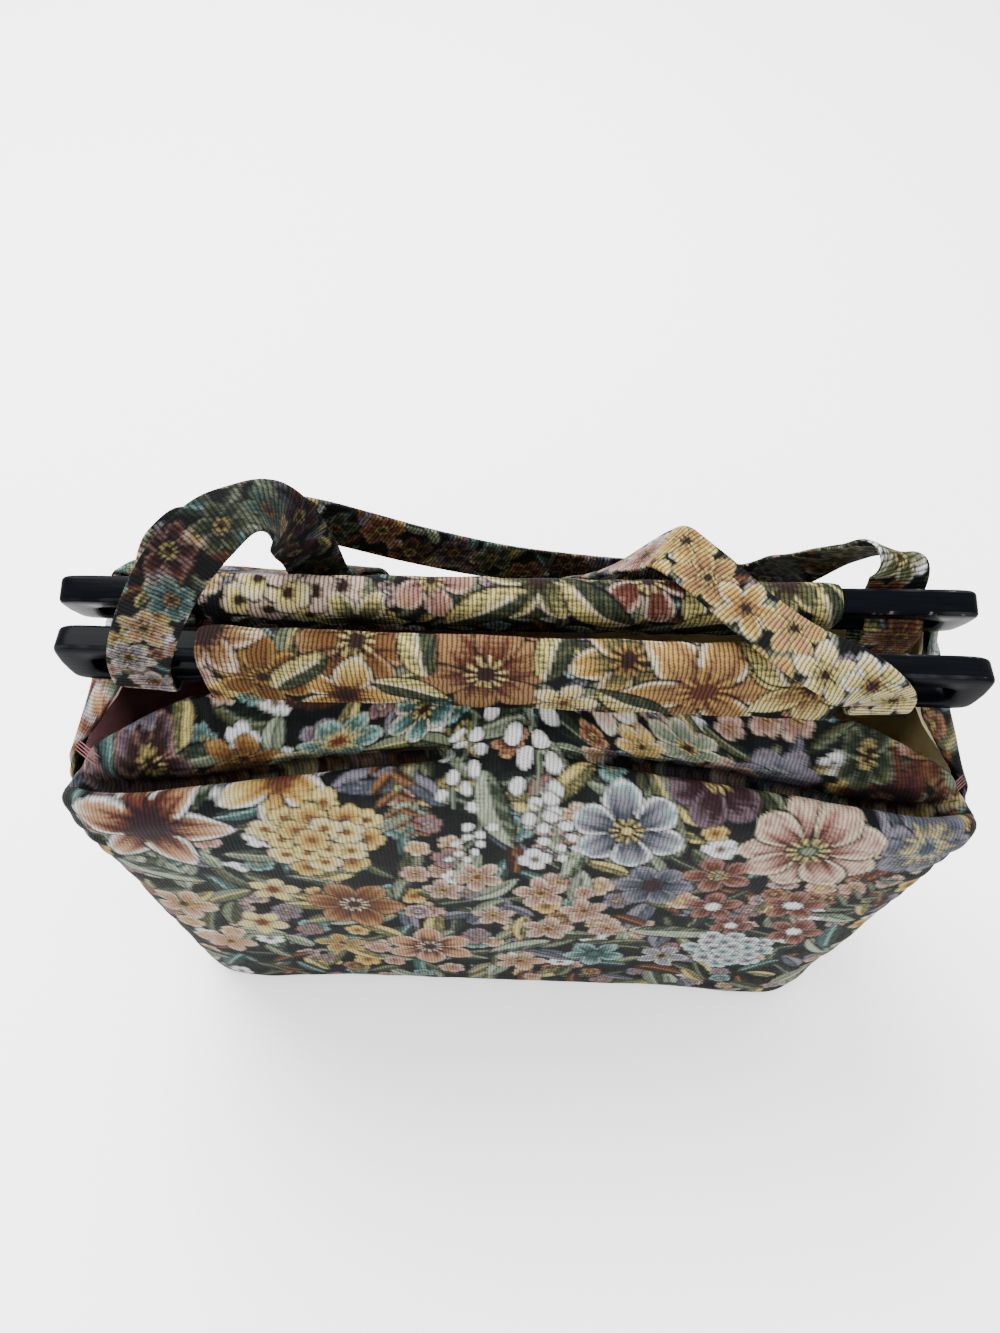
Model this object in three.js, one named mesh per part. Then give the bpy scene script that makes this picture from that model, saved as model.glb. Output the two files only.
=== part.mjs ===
// A standing tapestry handbag with two lacquered slats as its rails and a flopped strap on each.
// Millimetres, +Z up, -Y the front; the origin is the centre of the base's underside.
import * as THREE from "three";

// Cloth, lining and the small space that is left between pieces.
const CLOTH = 2.0;
const LINING = 1.0;
const LINING_SPACE = 1.5;
const SPACE = 0.5;

// The base, a plate of cloth between the feet of the walls.
const BASE = { halfLength: 179.6, halfDepth: 51.8, thickness: 2.5, corner: 20 };

// The side seams, where the front panel ends and the back panel's side walls begin.
const SEAM_Y = -40;

// The rails. Each is a slat on edge with a long slot near both ends and ends that slant inward below.
const RAIL = { length: 350, depth: 10.5, height: 23, round: 1.8, slant: 2, slantFrom: 2 };
const SLOT = { inner: 122, outer: 162, sill: 4.6, height: 11 };
const FRONT_RAIL = { x: 0, y: -15, z: 306, yaw: 0, tip: 0 };
const REAR_RAIL = { x: -1.8, y: 10.7, z: 311, yaw: 0.0227, tip: 0.3 };

// The sleeves that hold the rails, in section about the rail's centre.
const CASING = { half: 122, front: 8, top: 13.9, corner: 5, backFoot: -13 };
const LIP = { drop: 20, front: 6.4, back: -2.2 };

// The straps.
const STRAP = { width: 23, thickness: 2.4, stepsPerStation: 2 };

/** Rows of a table as records, by the names of its columns. */
function table(columns, rows) {
  return rows.map((row) => Object.fromEntries(columns.map((column, k) => [column, row[k]])));
}

// How the walls are divided: places along half a row, from its end (0) to the middle (0.5), and the steps
// between one row and the next.
const FRONT_GRID = {
  places: [0, 0.016, 0.036, 0.06, 0.1, 0.16, 0.23, 0.3, 0.37, 0.44, 0.5],
  stepsPerRow: 2,
};
const BACK_GRID = {
  places: [0, 0.012, 0.055, 0.1, 0.14, 0.158, 0.176, 0.2, 0.25, 0.32, 0.38, 0.44, 0.5],
  stepsPerRow: 2,
};

// The front panel, a row for each level from the sleeve down to the foot. Each row runs from the middle of
// the bag (mid) over the part that folds (fold) and the rounded corner (corner) to the panel's side (edge).
// The lean is how much the row climbs toward the right.
const FRONT_PLACES = ["mid", "fold", "corner", "edge"];
const FRONT_ROWS = table(["at", "lean", ...FRONT_PLACES], [
  ["sleeve", 0, [0, -22, 285.6], [62, -22, 285.6], [108, -22, 285.6], [121.5, -22, 285.6]],
  ["flap", 0, [0, -28.5, 284.6], [66, -29, 281], [118, -28.5, 279], [134.8, -21, 282]],
  ["wing", 0.006, [0, -32.5, 281.8], [72, -33.5, 273], [136, -35, 267], [154.5, -27.5, 275]],
  ["slit foot", 0.012, [0, -34.5, 279], [76, -35.5, 266.5], [155, -41.5, 258], [172.5, -35.5, 268]],
  ["valley", 0.014, [0, -36, 277], [80, -38.5, 261.5], [161, -46, 250.5], [179.5, -41.5, 258.5]],
  ["rise", 0.014, [0, -38, 275.5], [84, -43, 264.5], [165, -49.5, 253.5], [185.5, -43.2, 251.5]],
  ["ridge", 0.014, [0, -40.5, 273.5], [88, -49, 270], [170, -55, 260.5], [189, -42.5, 245]],
  ["shoulder", 0.014, [0, -46, 264], [90, -56, 262.5], [173.5, -61, 252], [190.5, -41, 236]],
  ["upper", 0.007, [0, -53, 238], [92, -58.5, 235], [175, -61, 228], [191.5, -40, 217]],
  ["middle", 0, [0, -59, 160], [92, -59.5, 160], [174, -58.5, 157], [190.5, -40, 154]],
  ["lower", 0, [0, -59, 75], [91, -59, 75], [172, -57.5, 75], [188.5, -40, 75]],
  ["foot", 0, [0, -57, 9], [90, -57, 9], [169, -56.5, 9], [185, -40, 9]],
  ["base", 0, [0, -55, 0], [89, -55, 0], [167, -54.5, 0], [183, -40, 0]],
]);
const FRONT_SEAM_ROW = 7;

// The back panel with its side walls, in the same way: the back's middle (mid), the start of the rear corner
// (corner), the side wall behind it (side) and the slit's edge or the side seam (edge).
const BACK_PLACES = ["mid", "corner", "side", "edge"];
const BACK_ROWS = table(["at", "lean", ...BACK_PLACES], [
  ["sleeve", 0, [0, 23, 292.6], [62, 23, 292.6], [108, 23, 292.6], [121.5, 23, 292.6]],
  ["flap", 0, [0, 29.5, 288], [112, 30.5, 289.5], [135, 29, 292.5], [146, 24, 294.5]],
  ["crest", 0, [0, 35.5, 282.5], [135, 38.5, 287], [160, 37, 296], [168, 28, 299]],
  ["brow", 0, [0, 42, 276], [150, 47, 279], [170, 38, 288], [171, 14, 284]],
  ["collar", 0, [0, 49, 268], [160, 53, 270], [174, 40, 275], [168, -12, 270]],
  ["slit foot", 0, [0, 54, 258], [166, 57, 259], [178.5, 41, 263], [182.5, -36.5, 262]],
  ["ridge", 0, [0, 57, 246], [171, 59, 247], [183.5, 42, 250], [187, -39.4, 248]],
  ["upper", 0, [0, 58, 225], [174, 59.5, 225], [189, 42, 225], [191, -40, 220]],
  ["middle", 0, [0, 58.5, 155], [174, 58.5, 155], [191.5, 41, 155], [190.5, -40, 154]],
  ["lower", 0, [0, 57.5, 75], [172, 57.5, 75], [189, 41, 75], [188.5, -40, 75]],
  ["foot", 0, [0, 56, 9], [169, 56, 9], [185, 40, 9], [185, -40, 9]],
  ["base", 0, [0, 55, 0], [167, 54.5, 0], [183, 39.5, 0], [183, -40, 0]],
]);
const BACK_SEAM_ROW = 7;

// A strap's end, in section about the rail's centre: out is toward the rail's own outer face.
// The end lies in the slot on the sill, passes down the inner face, under the rail and up the outer face.
const LOOP = [
  { out: -0.5, up: -2.6 },
  { out: -4.5, up: -2.6 },
  { out: -6.85, up: -5.2 },
  { out: -6.85, up: -11.6 },
  { out: -4.5, up: -14.6 },
  { out: 4.5, up: -14.6 },
  { out: 7.25, up: -11.6 },
  { out: 7.1, up: -4.5 },
];
// The rear strap's right end hangs lower under its slat, as a slack fold that comes forward.
const SLACK_LOOP = [
  { out: -0.5, up: -2.6 },
  { out: -4.5, up: -2.6 },
  { out: -7.4, up: -5.2 },
  { out: -9.2, up: -11.3 },
  { out: -11.4, up: -20.5 },
  { out: -5.3, up: -24 },
  { out: 5.2, up: -15.2 },
  { out: 7.6, up: -11.4 },
  { out: 7.1, up: -4.5 },
];

// Where along the rails the straps' ends sit, and how their widths lie there.
const FRONT_ENDS = {
  left: { x: -145, across: [0.98, 0, -0.17] },
  right: { x: 137.5, across: [0.98, 0, 0.17] },
};
const REAR_ENDS = {
  left: { x: -138, across: [1, 0, 0] },
  right: { x: 146.5, across: [-1, 0, 0], loop: SLACK_LOOP },
};

// The straps' ways from the left slot to the right one. Each station gives the middle of the strap (at) and
// the direction of its width (across).
const FRONT_WAY = table(["at", "across"], [
  [[-141.5, -23.2, 316], [0.95, -0.02, -0.3]],
  [[-133, -20.5, 336], [0.92, -0.05, -0.38]],
  [[-119.5, -13, 358], [0.88, -0.2, -0.42]],
  [[-107.5, -3, 367.5], [0.76, -0.56, -0.3]],
  [[-97, 5, 369.5], [0.58, -0.78, 0.05]],
  [[-89, 11, 361], [0.05, -0.9, -0.3]],
  [[-86, 15.5, 347], [-0.55, -0.75, -0.25]],
  [[-85, 19.5, 334], [-0.84, -0.5, -0.15]],
  [[-84.3, 24.5, 320], [-0.93, -0.3, -0.05]],
  [[-83, 28, 304], [-0.97, -0.2, 0]],
  [[-82, 37, 290], [-1, -0.1, 0]],
  [[-80, 48, 280], [-1, 0, 0]],
  [[-75, 60.5, 262], [-1, 0, 0]],
  [[-66, 64, 240], [-0.85, 0, -0.5]],
  [[-22, 64, 221], [0, -0.05, -1]],
  [[20, 64, 240], [0.85, 0, -0.5]],
  [[29, 60.5, 260], [1, 0.1, -0.15]],
  [[34, 52.5, 277], [0.95, 0.3, 0]],
  [[39, 45, 293], [0.85, 0.52, 0.1]],
  [[46, 38, 309], [0.7, 0.7, 0.1]],
  [[52, 33, 320], [0.55, 0.83, 0.05]],
  [[54.5, 29.5, 326], [0.52, 0.85, 0]],
  [[58, 24, 329.5], [0.5, 0.86, 0]],
  [[66.5, 14.5, 331], [0.48, 0.88, 0]],
  [[75, 5, 331], [0.5, 0.86, 0]],
  [[83, -3, 330], [0.56, 0.83, 0]],
  [[92.5, -10.5, 327.8], [0.66, 0.75, 0.03]],
  [[102, -16.5, 325.3], [0.72, 0.68, 0.1]],
  [[112, -21, 323], [0.8, 0.52, 0.2]],
  [[122, -24, 319], [0.86, 0.3, 0.35]],
  [[130, -24.6, 313], [0.9, 0.12, 0.38]],
]);
const REAR_WAY = table(["at", "across"], [
  [[-139.5, 15.8, 317], [1, 0, 0]],
  [[-137, 20, 323], [1, 0, -0.05]],
  [[-131, 23, 328.5], [0.97, 0, -0.1]],
  [[-123, 28.5, 332], [0.85, -0.05, 0.3]],
  [[-113, 35, 331], [0.55, -0.05, 0.83]],
  [[-101, 40.5, 325], [0.3, 0, 0.95]],
  [[-87, 45.5, 316], [0.2, 0, 0.98]],
  [[-72, 50, 305], [0.15, 0, 0.99]],
  [[-46, 56.5, 287], [0.12, 0, 0.99]],
  [[-12, 64, 268], [0.1, 0, 0.99]],
  [[20, 69, 257], [0.05, 0, 1]],
  [[52, 71, 252], [0, 0, 1]],
  [[85, 71.5, 252], [-0.1, 0, 1]],
  [[104, 71, 252], [-0.25, -0.05, 0.97]],
  [[115, 67, 262], [-0.3, -0.12, 0.94]],
  [[121.5, 58, 280], [-0.35, -0.22, 0.9]],
  [[128, 48, 301], [-0.5, -0.35, 0.79]],
  [[133.5, 38, 318], [-0.62, -0.4, 0.68]],
  [[138.5, 31, 327], [-0.76, -0.15, 0.63]],
  [[142.5, 26, 326.5], [-0.86, 0, 0.5]],
  [[144.7, 23.2, 318.5], [-0.99, 0, 0.1]],
]);

const vector = (values) => new THREE.Vector3(...values);
const mirrored = ([x, y, z]) => [-x, y, z];

/** A row's points from one side of the bag to the other. */
function rowPoints(row, names, places, from) {
  const right = names.map((name) => row[name]);
  const left = right.slice(1).map(mirrored).reverse();
  const ordered = [...left, ...right].map(([x, y, z]) => [x, y, z + row.lean * x]);
  const points = (from === "right" ? ordered.reverse() : ordered).map(vector);
  const curve = new THREE.CatmullRomCurve3(points);
  return places.map((place) => curve.getPointAt(place));
}

/** The grid of a wall: rows of points, with curved steps between one row and the next. */
function loft(rows, names, grid, from) {
  const otherHalf = grid.places.slice(0, -1).reverse();
  const places = [...grid.places, ...otherHalf.map((place) => 1 - place)];
  const sections = rows.map((row) => rowPoints(row, names, places, from));
  const steps = (rows.length - 1) * grid.stepsPerRow;
  const lines = places.map((_, column) => {
    const line = new THREE.CatmullRomCurve3(sections.map((section) => section[column]));
    return line.getPoints(steps);
  });
  return Array.from({ length: steps + 1 }, (_, row) => lines.map((line) => line[row]));
}

/** Outward directions of a grid. Those on a cut edge lie in the plane of the cut. */
function outwardDirections(grid, seamRow) {
  const last = { row: grid.length - 1, column: grid[0].length - 1 };
  return grid.map((line, row) =>
    line.map((_, column) => {
      const above = grid[Math.max(row - 1, 0)][column];
      const below = grid[Math.min(row + 1, last.row)][column];
      const before = line[Math.max(column - 1, 0)];
      const after = line[Math.min(column + 1, last.column)];
      const down = below.clone().sub(above);
      const along = after.clone().sub(before);
      const out = down.cross(along);
      if (row === 0 || row === last.row) out.z = 0;
      if ((column === 0 || column === last.column) && row >= seamRow) out.y = 0;
      return out.normalize();
    }),
  );
}

/** A closed wall between two depths behind a grid of points, short of its edges by whole steps. */
function wall(wholeGrid, seamRow, near, far, short) {
  const wholeOutward = outwardDirections(wholeGrid, seamRow);
  const inner = (line) => line.slice(short, line.length - short);
  const shorten = (whole) => inner(whole).map(inner);
  const grid = shorten(wholeGrid);
  const outward = shorten(wholeOutward);
  const rows = grid.length;
  const columns = grid[0].length;
  const layer = rows * columns;
  const positions = [];
  for (const depth of [near, far]) {
    grid.forEach((line, row) =>
      line.forEach((point, column) => {
        const moved = point.clone().addScaledVector(outward[row][column], -depth);
        positions.push(moved.x, moved.y, moved.z);
      }),
    );
  }
  const index = [];
  for (let row = 0; row < rows - 1; row++) {
    for (let column = 0; column < columns - 1; column++) {
      const a = row * columns + column;
      const b = a + 1;
      const d = a + columns;
      const e = d + 1;
      index.push(a, d, b, b, d, e);
      index.push(layer + a, layer + b, layer + d, layer + b, layer + e, layer + d);
    }
  }
  const rim = [];
  for (let column = columns - 1; column > 0; column--) rim.push(column);
  for (let row = 0; row < rows - 1; row++) rim.push(row * columns);
  for (let column = 0; column < columns - 1; column++) rim.push((rows - 1) * columns + column);
  for (let row = rows - 1; row > 0; row--) rim.push(row * columns + columns - 1);
  rim.forEach((p, k) => {
    const q = rim[(k + 1) % rim.length];
    index.push(q, p, layer + p, q, layer + p, layer + q);
  });
  return solidFrom(positions, index);
}

function solidFrom(positions, index) {
  const geometry = new THREE.BufferGeometry();
  geometry.setAttribute("position", new THREE.Float32BufferAttribute(positions, 3));
  geometry.setIndex(index);
  geometry.computeVertexNormals();
  return geometry;
}

/** A shape drawn across the bag (x, z) and given its depth along Y. */
function extrudeAlongY(shape, depth, round, segments) {
  const geometry = new THREE.ExtrudeGeometry(shape, {
    depth: depth - 2 * round,
    bevelEnabled: round > 0,
    bevelThickness: round,
    bevelSize: round,
    bevelOffset: -round,
    bevelSegments: segments,
    curveSegments: 4,
  });
  geometry.translate(0, 0, round - depth / 2);
  return geometry.rotateX(Math.PI / 2);
}

function slotPath(centre) {
  const radius = SLOT.height / 2;
  const reach = (SLOT.outer - SLOT.inner) / 2 - radius;
  const level = -RAIL.height / 2 + SLOT.sill + radius;
  const path = new THREE.Path();
  path.absarc(centre - reach, level, radius, Math.PI / 2, (3 * Math.PI) / 2, false);
  path.absarc(centre + reach, level, radius, -Math.PI / 2, Math.PI / 2, false);
  path.closePath();
  return path;
}

function railGeometry() {
  const reach = RAIL.length / 2;
  const top = RAIL.height / 2;
  const shape = new THREE.Shape([
    new THREE.Vector2(-reach, top),
    new THREE.Vector2(-reach, RAIL.slantFrom),
    new THREE.Vector2(-reach + RAIL.slant, -top),
    new THREE.Vector2(reach - RAIL.slant, -top),
    new THREE.Vector2(reach, RAIL.slantFrom),
    new THREE.Vector2(reach, top),
  ]);
  const middle = (SLOT.inner + SLOT.outer) / 2;
  shape.holes.push(slotPath(-middle), slotPath(middle));
  return extrudeAlongY(shape, RAIL.depth, RAIL.round, 1);
}

/** A sleeve's section, outer (inset 0) or inner (inset by the cloth), with its lip toward the outer face. */
function casingOutline(shape, inset) {
  const side = CASING.front - inset;
  const top = CASING.top - inset;
  const bend = CASING.corner - inset;
  const straight = CASING.top - CASING.corner;
  const flat = CASING.front - CASING.corner;
  shape.moveTo(LIP.back - 1.2 * inset, -LIP.drop + 1.7 * inset);
  shape.lineTo(side, CASING.backFoot + 0.3 * inset);
  shape.lineTo(side, straight);
  shape.absarc(flat, straight, bend, 0, Math.PI / 2, false);
  shape.lineTo(-flat, top);
  shape.absarc(-flat, straight, bend, Math.PI / 2, Math.PI, false);
  shape.lineTo(-side, -LIP.drop + 7);
  shape.lineTo(-LIP.front + 0.9 * inset, -LIP.drop + 1.7 * inset);
  shape.closePath();
  return shape;
}

function casingGeometry() {
  const shape = casingOutline(new THREE.Shape(), 0);
  shape.holes.push(casingOutline(new THREE.Path(), CLOTH - 0.2));
  const geometry = new THREE.ExtrudeGeometry(shape, {
    depth: 2 * CASING.half,
    bevelEnabled: false,
    curveSegments: 3,
    steps: 1,
  });
  geometry.translate(0, 0, -CASING.half);
  return geometry.rotateX(Math.PI / 2).rotateZ(Math.PI / 2);
}

function basePlate() {
  const x = BASE.halfLength;
  const y = BASE.halfDepth;
  const r = BASE.corner;
  const shape = new THREE.Shape();
  shape.absarc(x - r, -y + r, r, -Math.PI / 2, 0, false);
  shape.absarc(x - r, y - r, r, 0, Math.PI / 2, false);
  shape.absarc(-x + r, y - r, r, Math.PI / 2, Math.PI, false);
  shape.absarc(-x + r, -y + r, r, Math.PI, 1.5 * Math.PI, false);
  return new THREE.ExtrudeGeometry(shape, { depth: BASE.thickness, bevelEnabled: false, curveSegments: 3 });
}

/** A strap's whole way: the left end's loop, the free stations and the right end's loop. */
function strapStations(way, rail, outward, ends) {
  const loopOf = (end) =>
    (end.loop ?? LOOP).map(({ out, up }) => {
      const x = end.x + rail.x;
      const y = outward * out * Math.cos(rail.tip) - up * Math.sin(rail.tip);
      const z = outward * out * Math.sin(rail.tip) + up * Math.cos(rail.tip);
      return { at: [x, rail.y + x * rail.yaw + y, rail.z + z], across: end.across };
    });
  return [...loopOf(ends.left), ...way, ...loopOf(ends.right).reverse()];
}

/** A flat band swept along its stations, with softened edges. */
function strapGeometry(stations) {
  const middle = new THREE.CatmullRomCurve3(stations.map((station) => vector(station.at)));
  const across = new THREE.CatmullRomCurve3(stations.map((station) => vector(station.across)));
  const half = STRAP.width / 2;
  const thin = STRAP.thickness / 2;
  const section = [
    [-half, thin / 2],
    [-half + thin / 2, thin],
    [half - thin / 2, thin],
    [half, thin / 2],
    [half, -thin / 2],
    [half - thin / 2, -thin],
    [-half + thin / 2, -thin],
    [-half, -thin / 2],
  ];
  const count = (stations.length - 1) * STRAP.stepsPerStation;
  const positions = [];
  for (let k = 0; k <= count; k++) {
    const t = k / count;
    const centre = middle.getPoint(t);
    const along = middle.getTangent(t);
    const width = across.getPoint(t);
    width.addScaledVector(along, -width.dot(along)).normalize();
    const face = along.clone().cross(width);
    for (const [a, b] of section) {
      const point = centre.clone().addScaledVector(width, a).addScaledVector(face, b);
      positions.push(point.x, point.y, point.z);
    }
  }
  const ring = section.length;
  const index = [];
  for (let k = 0; k < count; k++) {
    for (let j = 0; j < ring; j++) {
      const a = k * ring + j;
      const b = k * ring + ((j + 1) % ring);
      index.push(a, a + ring, b, b, a + ring, b + ring);
    }
  }
  for (let j = 1; j < ring - 1; j++) {
    index.push(0, j, j + 1);
    const end = count * ring;
    index.push(end, end + j + 1, end + j);
  }
  return solidFrom(positions, index);
}

function place(geometry, rail) {
  return geometry.rotateX(rail.tip).rotateZ(rail.yaw).translate(rail.x, rail.y, rail.z);
}

const FABRIC = new THREE.MeshStandardMaterial({ color: "#57503f", roughness: 0.95 });
const SATIN = new THREE.MeshStandardMaterial({ color: "#cdb2a0", roughness: 0.6 });
const LACQUER = new THREE.MeshStandardMaterial({ color: "#0d0b0b", roughness: 0.2 });

const bag = new THREE.Group();

function piece(name, geometry, material) {
  const mesh = new THREE.Mesh(geometry, material);
  mesh.name = name;
  bag.add(mesh);
}

const frontGrid = loft(FRONT_ROWS, FRONT_PLACES, FRONT_GRID, "left");
const backRows = BACK_ROWS.map((row) => {
  const turned = { ...row };
  const seam = row.edge[1] <= SEAM_Y;
  if (seam) turned.edge = [row.edge[0], SEAM_Y + SPACE, row.edge[2]];
  return turned;
});
const backGrid = loft(backRows, BACK_PLACES, BACK_GRID, "right");
backGrid[0].forEach((point) => {
  point.y += point.x * REAR_RAIL.yaw;
});
const frontSeam = FRONT_SEAM_ROW * FRONT_GRID.stepsPerRow;
const backSeam = BACK_SEAM_ROW * BACK_GRID.stepsPerRow;
const liningNear = CLOTH + LINING_SPACE;

piece("base_panel", basePlate(), FABRIC);
piece("front_panel", wall(frontGrid, frontSeam, 0, CLOTH, 0), FABRIC);
piece("back_panel", wall(backGrid, backSeam, 0, CLOTH, 0), FABRIC);
piece("front_lining", wall(frontGrid, frontSeam, liningNear, liningNear + LINING, 1), SATIN);
piece("back_lining", wall(backGrid, backSeam, liningNear, liningNear + LINING, 1), SATIN);
piece("front_casing", place(casingGeometry(), FRONT_RAIL), FABRIC);
piece("rear_casing", place(casingGeometry().rotateZ(Math.PI), REAR_RAIL), FABRIC);
piece("front_rail", place(railGeometry(), FRONT_RAIL), LACQUER);
piece("rear_rail", place(railGeometry(), REAR_RAIL), LACQUER);
piece("front_strap", strapGeometry(strapStations(FRONT_WAY, FRONT_RAIL, -1, FRONT_ENDS)), FABRIC);
piece("rear_strap", strapGeometry(strapStations(REAR_WAY, REAR_RAIL, 1, REAR_ENDS)), FABRIC);

export default bag;
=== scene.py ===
"""A standing floral tapestry handbag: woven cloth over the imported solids, lacquered slats, studio and camera.

Lengths are millimetres in the sub-assemblies and metres in Blender. +Z is up and -Y is the bag's front.
"""

import logging
from dataclasses import dataclass, field
from enum import Enum
from typing import Any, Callable, Optional, Sequence

import bmesh
import bpy
import numpy as np
from mathutils import Matrix


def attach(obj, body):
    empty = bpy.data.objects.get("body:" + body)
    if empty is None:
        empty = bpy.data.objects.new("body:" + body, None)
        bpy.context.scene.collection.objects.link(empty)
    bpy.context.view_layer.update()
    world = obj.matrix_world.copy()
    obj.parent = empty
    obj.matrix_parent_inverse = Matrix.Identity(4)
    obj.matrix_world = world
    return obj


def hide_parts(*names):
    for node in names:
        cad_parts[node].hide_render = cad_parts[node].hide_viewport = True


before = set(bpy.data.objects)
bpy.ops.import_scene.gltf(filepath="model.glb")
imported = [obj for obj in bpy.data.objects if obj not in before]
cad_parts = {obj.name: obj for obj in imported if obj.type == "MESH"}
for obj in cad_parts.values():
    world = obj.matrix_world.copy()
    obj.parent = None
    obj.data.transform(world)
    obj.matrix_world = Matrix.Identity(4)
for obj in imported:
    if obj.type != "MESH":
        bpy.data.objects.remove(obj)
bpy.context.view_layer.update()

LOG = logging.getLogger("handbag")
MM = 0.001
Array = np.ndarray
Place = tuple[float, float, float]

# Spacing of the woven ribs, and of the picks across them, in mm.
RIB, PICK = 1.7, 1.2
# Points of one piece that are closer than this, in metres, are merged.
WELD = 2e-6
# How deep the dyes are for the bright studio, how far their light is stretched, and how far wear greys them.
DYE_LEVEL, DYE_POWER, DYE_WORN = 0.43, 1.38, 0.16
LUMA = (0.2126, 0.7152, 0.0722)


def catmull(points: Array, u: Array) -> Array:
    """Centripetal spline through points.

    Between two points it is the cubic that leaves and arrives with slopes taken over the square roots of
    the distances to the neighbours; the points beyond both ends are the end points reflected.

    Args:
        points: control points, (K, ..., D).
        u: places from 0 (first point) to 1 (last point), (N,).

    Returns:
        Points on the spline, (N, ..., D).
    """
    ends = (2 * points[0] - points[1], 2 * points[-1] - points[-2])
    padded = np.concatenate([ends[0][None], points, ends[1][None]])
    spot = np.clip(u, 0, 1) * (len(points) - 1)
    first = np.minimum(spot.astype(int), len(points) - 2)
    w = (spot - first).reshape((-1,) + (1,) * (points.ndim - 1))
    p0, p1, p2, p3 = (padded[first + k] for k in range(4))
    pairs = ((p0, p1), (p1, p2), (p2, p3))
    step = [np.sqrt(np.linalg.norm(b - a, axis=-1, keepdims=True)) for a, b in pairs]
    none = 1e-4
    d1 = np.where(step[1] < none, 1.0, step[1])
    d0 = np.where(step[0] < none, d1, step[0])
    d2 = np.where(step[2] < none, d1, step[2])
    m1 = ((p1 - p0) / d0 - (p2 - p0) / (d0 + d1) + (p2 - p1) / d1) * d1
    m2 = ((p2 - p1) / d1 - (p3 - p1) / (d1 + d2) + (p3 - p2) / d2) * d1
    c2 = -3 * p1 + 3 * p2 - 2 * m1 - m2
    c3 = 2 * p1 - 2 * p2 + m1 + m2
    return p1 + w * (m1 + w * (c2 + w * c3))


def lengths(points: Array, axis: int = 0) -> Array:
    """Running length of the polylines that lie along an axis of a grid of points.

    Args:
        points: grid of points, (..., D).
        axis: axis along which the lines run.

    Returns:
        Length from the start of the line to each point, without the last axis.
    """
    step = np.linalg.norm(np.diff(points, axis=axis), axis=-1)
    start = np.zeros_like(np.take(step, [0], axis=axis))
    return np.concatenate([start, np.cumsum(step, axis=axis)], axis=axis)


def spaced(points: Array, places: Array) -> Array:
    """Points of the spline at shares of its length.

    Args:
        points: control points, (K, D).
        places: shares of the whole length, from 0 to 1.

    Returns:
        Points, (N, D).
    """
    u = np.linspace(0, 1, 600)
    run = lengths(catmull(points, u))
    return catmull(points, np.interp(places * run[-1], run, u))


def unit(vectors: Array) -> Array:
    """Vectors divided by their lengths."""
    return vectors / np.maximum(np.linalg.norm(vectors, axis=-1, keepdims=True), 1e-9)


def grid_normals(points: Array) -> Array:
    """Unit normals of a grid: the slope down the rows crossed with the slope along the columns."""
    return unit(np.cross(np.gradient(points, axis=0), np.gradient(points, axis=1)))


def smooth_step(low: float, high: float, x: Array) -> Array:
    """0 below low, 1 above high, and 3w^2 - 2w^3 of the share w between them."""
    w = np.clip((x - low) / (high - low), 0, 1)
    return w * w * (3 - 2 * w)


def bump_at(x: Array, centre: float, width: float) -> Array:
    """Bell curve exp(-(distance / width)^2) about a centre."""
    return np.exp(-(((x - centre) / width) ** 2))


def slack(s: Array, t: Array, length: float, seed: int) -> Array:
    """Unevenness of handled cloth: the mean of seven seeded plane waves of lengths about the given one.

    Args:
        s: place across the cloth.
        t: place along the cloth.
        length: typical wave length.
        seed: seed of the waves' directions and phases.

    Returns:
        Heights of about -1 to 1.
    """
    rng = np.random.default_rng(seed)
    turn, phase = rng.uniform(0, 2 * np.pi, (2, 7, *([1] * s.ndim)))
    wave = 2 * np.pi / (length * rng.uniform(0.6, 1.6, turn.shape))
    return np.sin((s * np.cos(turn) + t * np.sin(turn)) * wave + phase).mean(0) * 1.6


class Thread(Enum):
    """Colours of the weft threads, as sRGB."""

    GROUND = (30, 34, 38)
    NIGHT_GREEN = (42, 52, 48)
    FOREST = (66, 80, 66)
    OLIVE = (118, 120, 80)
    SAGE = (150, 160, 136)
    MINT = (190, 200, 178)
    TEAL = (88, 126, 122)
    AQUA = (168, 202, 198)
    GOLD = (204, 168, 84)
    BUTTER = (228, 212, 136)
    CREAM = (234, 222, 194)
    WHITE = (238, 240, 238)
    PEACH = (202, 162, 122)
    TAN = (176, 140, 92)
    OCHRE = (150, 110, 56)
    RUST = (128, 80, 58)
    BROWN = (78, 54, 44)
    ROSE = (186, 146, 134)
    BLUSH = (224, 200, 182)
    MAUVE = (142, 122, 132)
    PLUM = (82, 52, 62)
    LILAC = (160, 156, 168)
    SLATE = (100, 108, 120)

    @property
    def linear(self) -> Array:
        """The colour in linear light, deepened for the bright studio and greyed a little, as worn dye is."""
        c = np.array(self.value) / 255
        light = np.where(c <= 0.04045, c / 12.92, ((c + 0.055) / 1.055) ** 2.4)
        deep = DYE_LEVEL * light**DYE_POWER
        return (1 - DYE_WORN) * deep + DYE_WORN * (deep @ LUMA)


class Cut(Enum):
    """Width of a flower's petals over its radius, and how blunt their tips are."""

    PLAIN = (0.62, 1.5)
    LILY = (0.5, 0.95)
    TULIP = (0.55, 1.0)
    CUP = (0.55, 1.1)
    DAISY = (0.6, 1.3)
    PEONY = (0.6, 1.6)
    POPPY = (0.66, 1.6)
    PANSY = (0.7, 1.7)


T = Thread
Tones = Sequence[Thread]
Flower = tuple[float, float, float, float, int, Tones, Thread, Tones, Cut]


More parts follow.
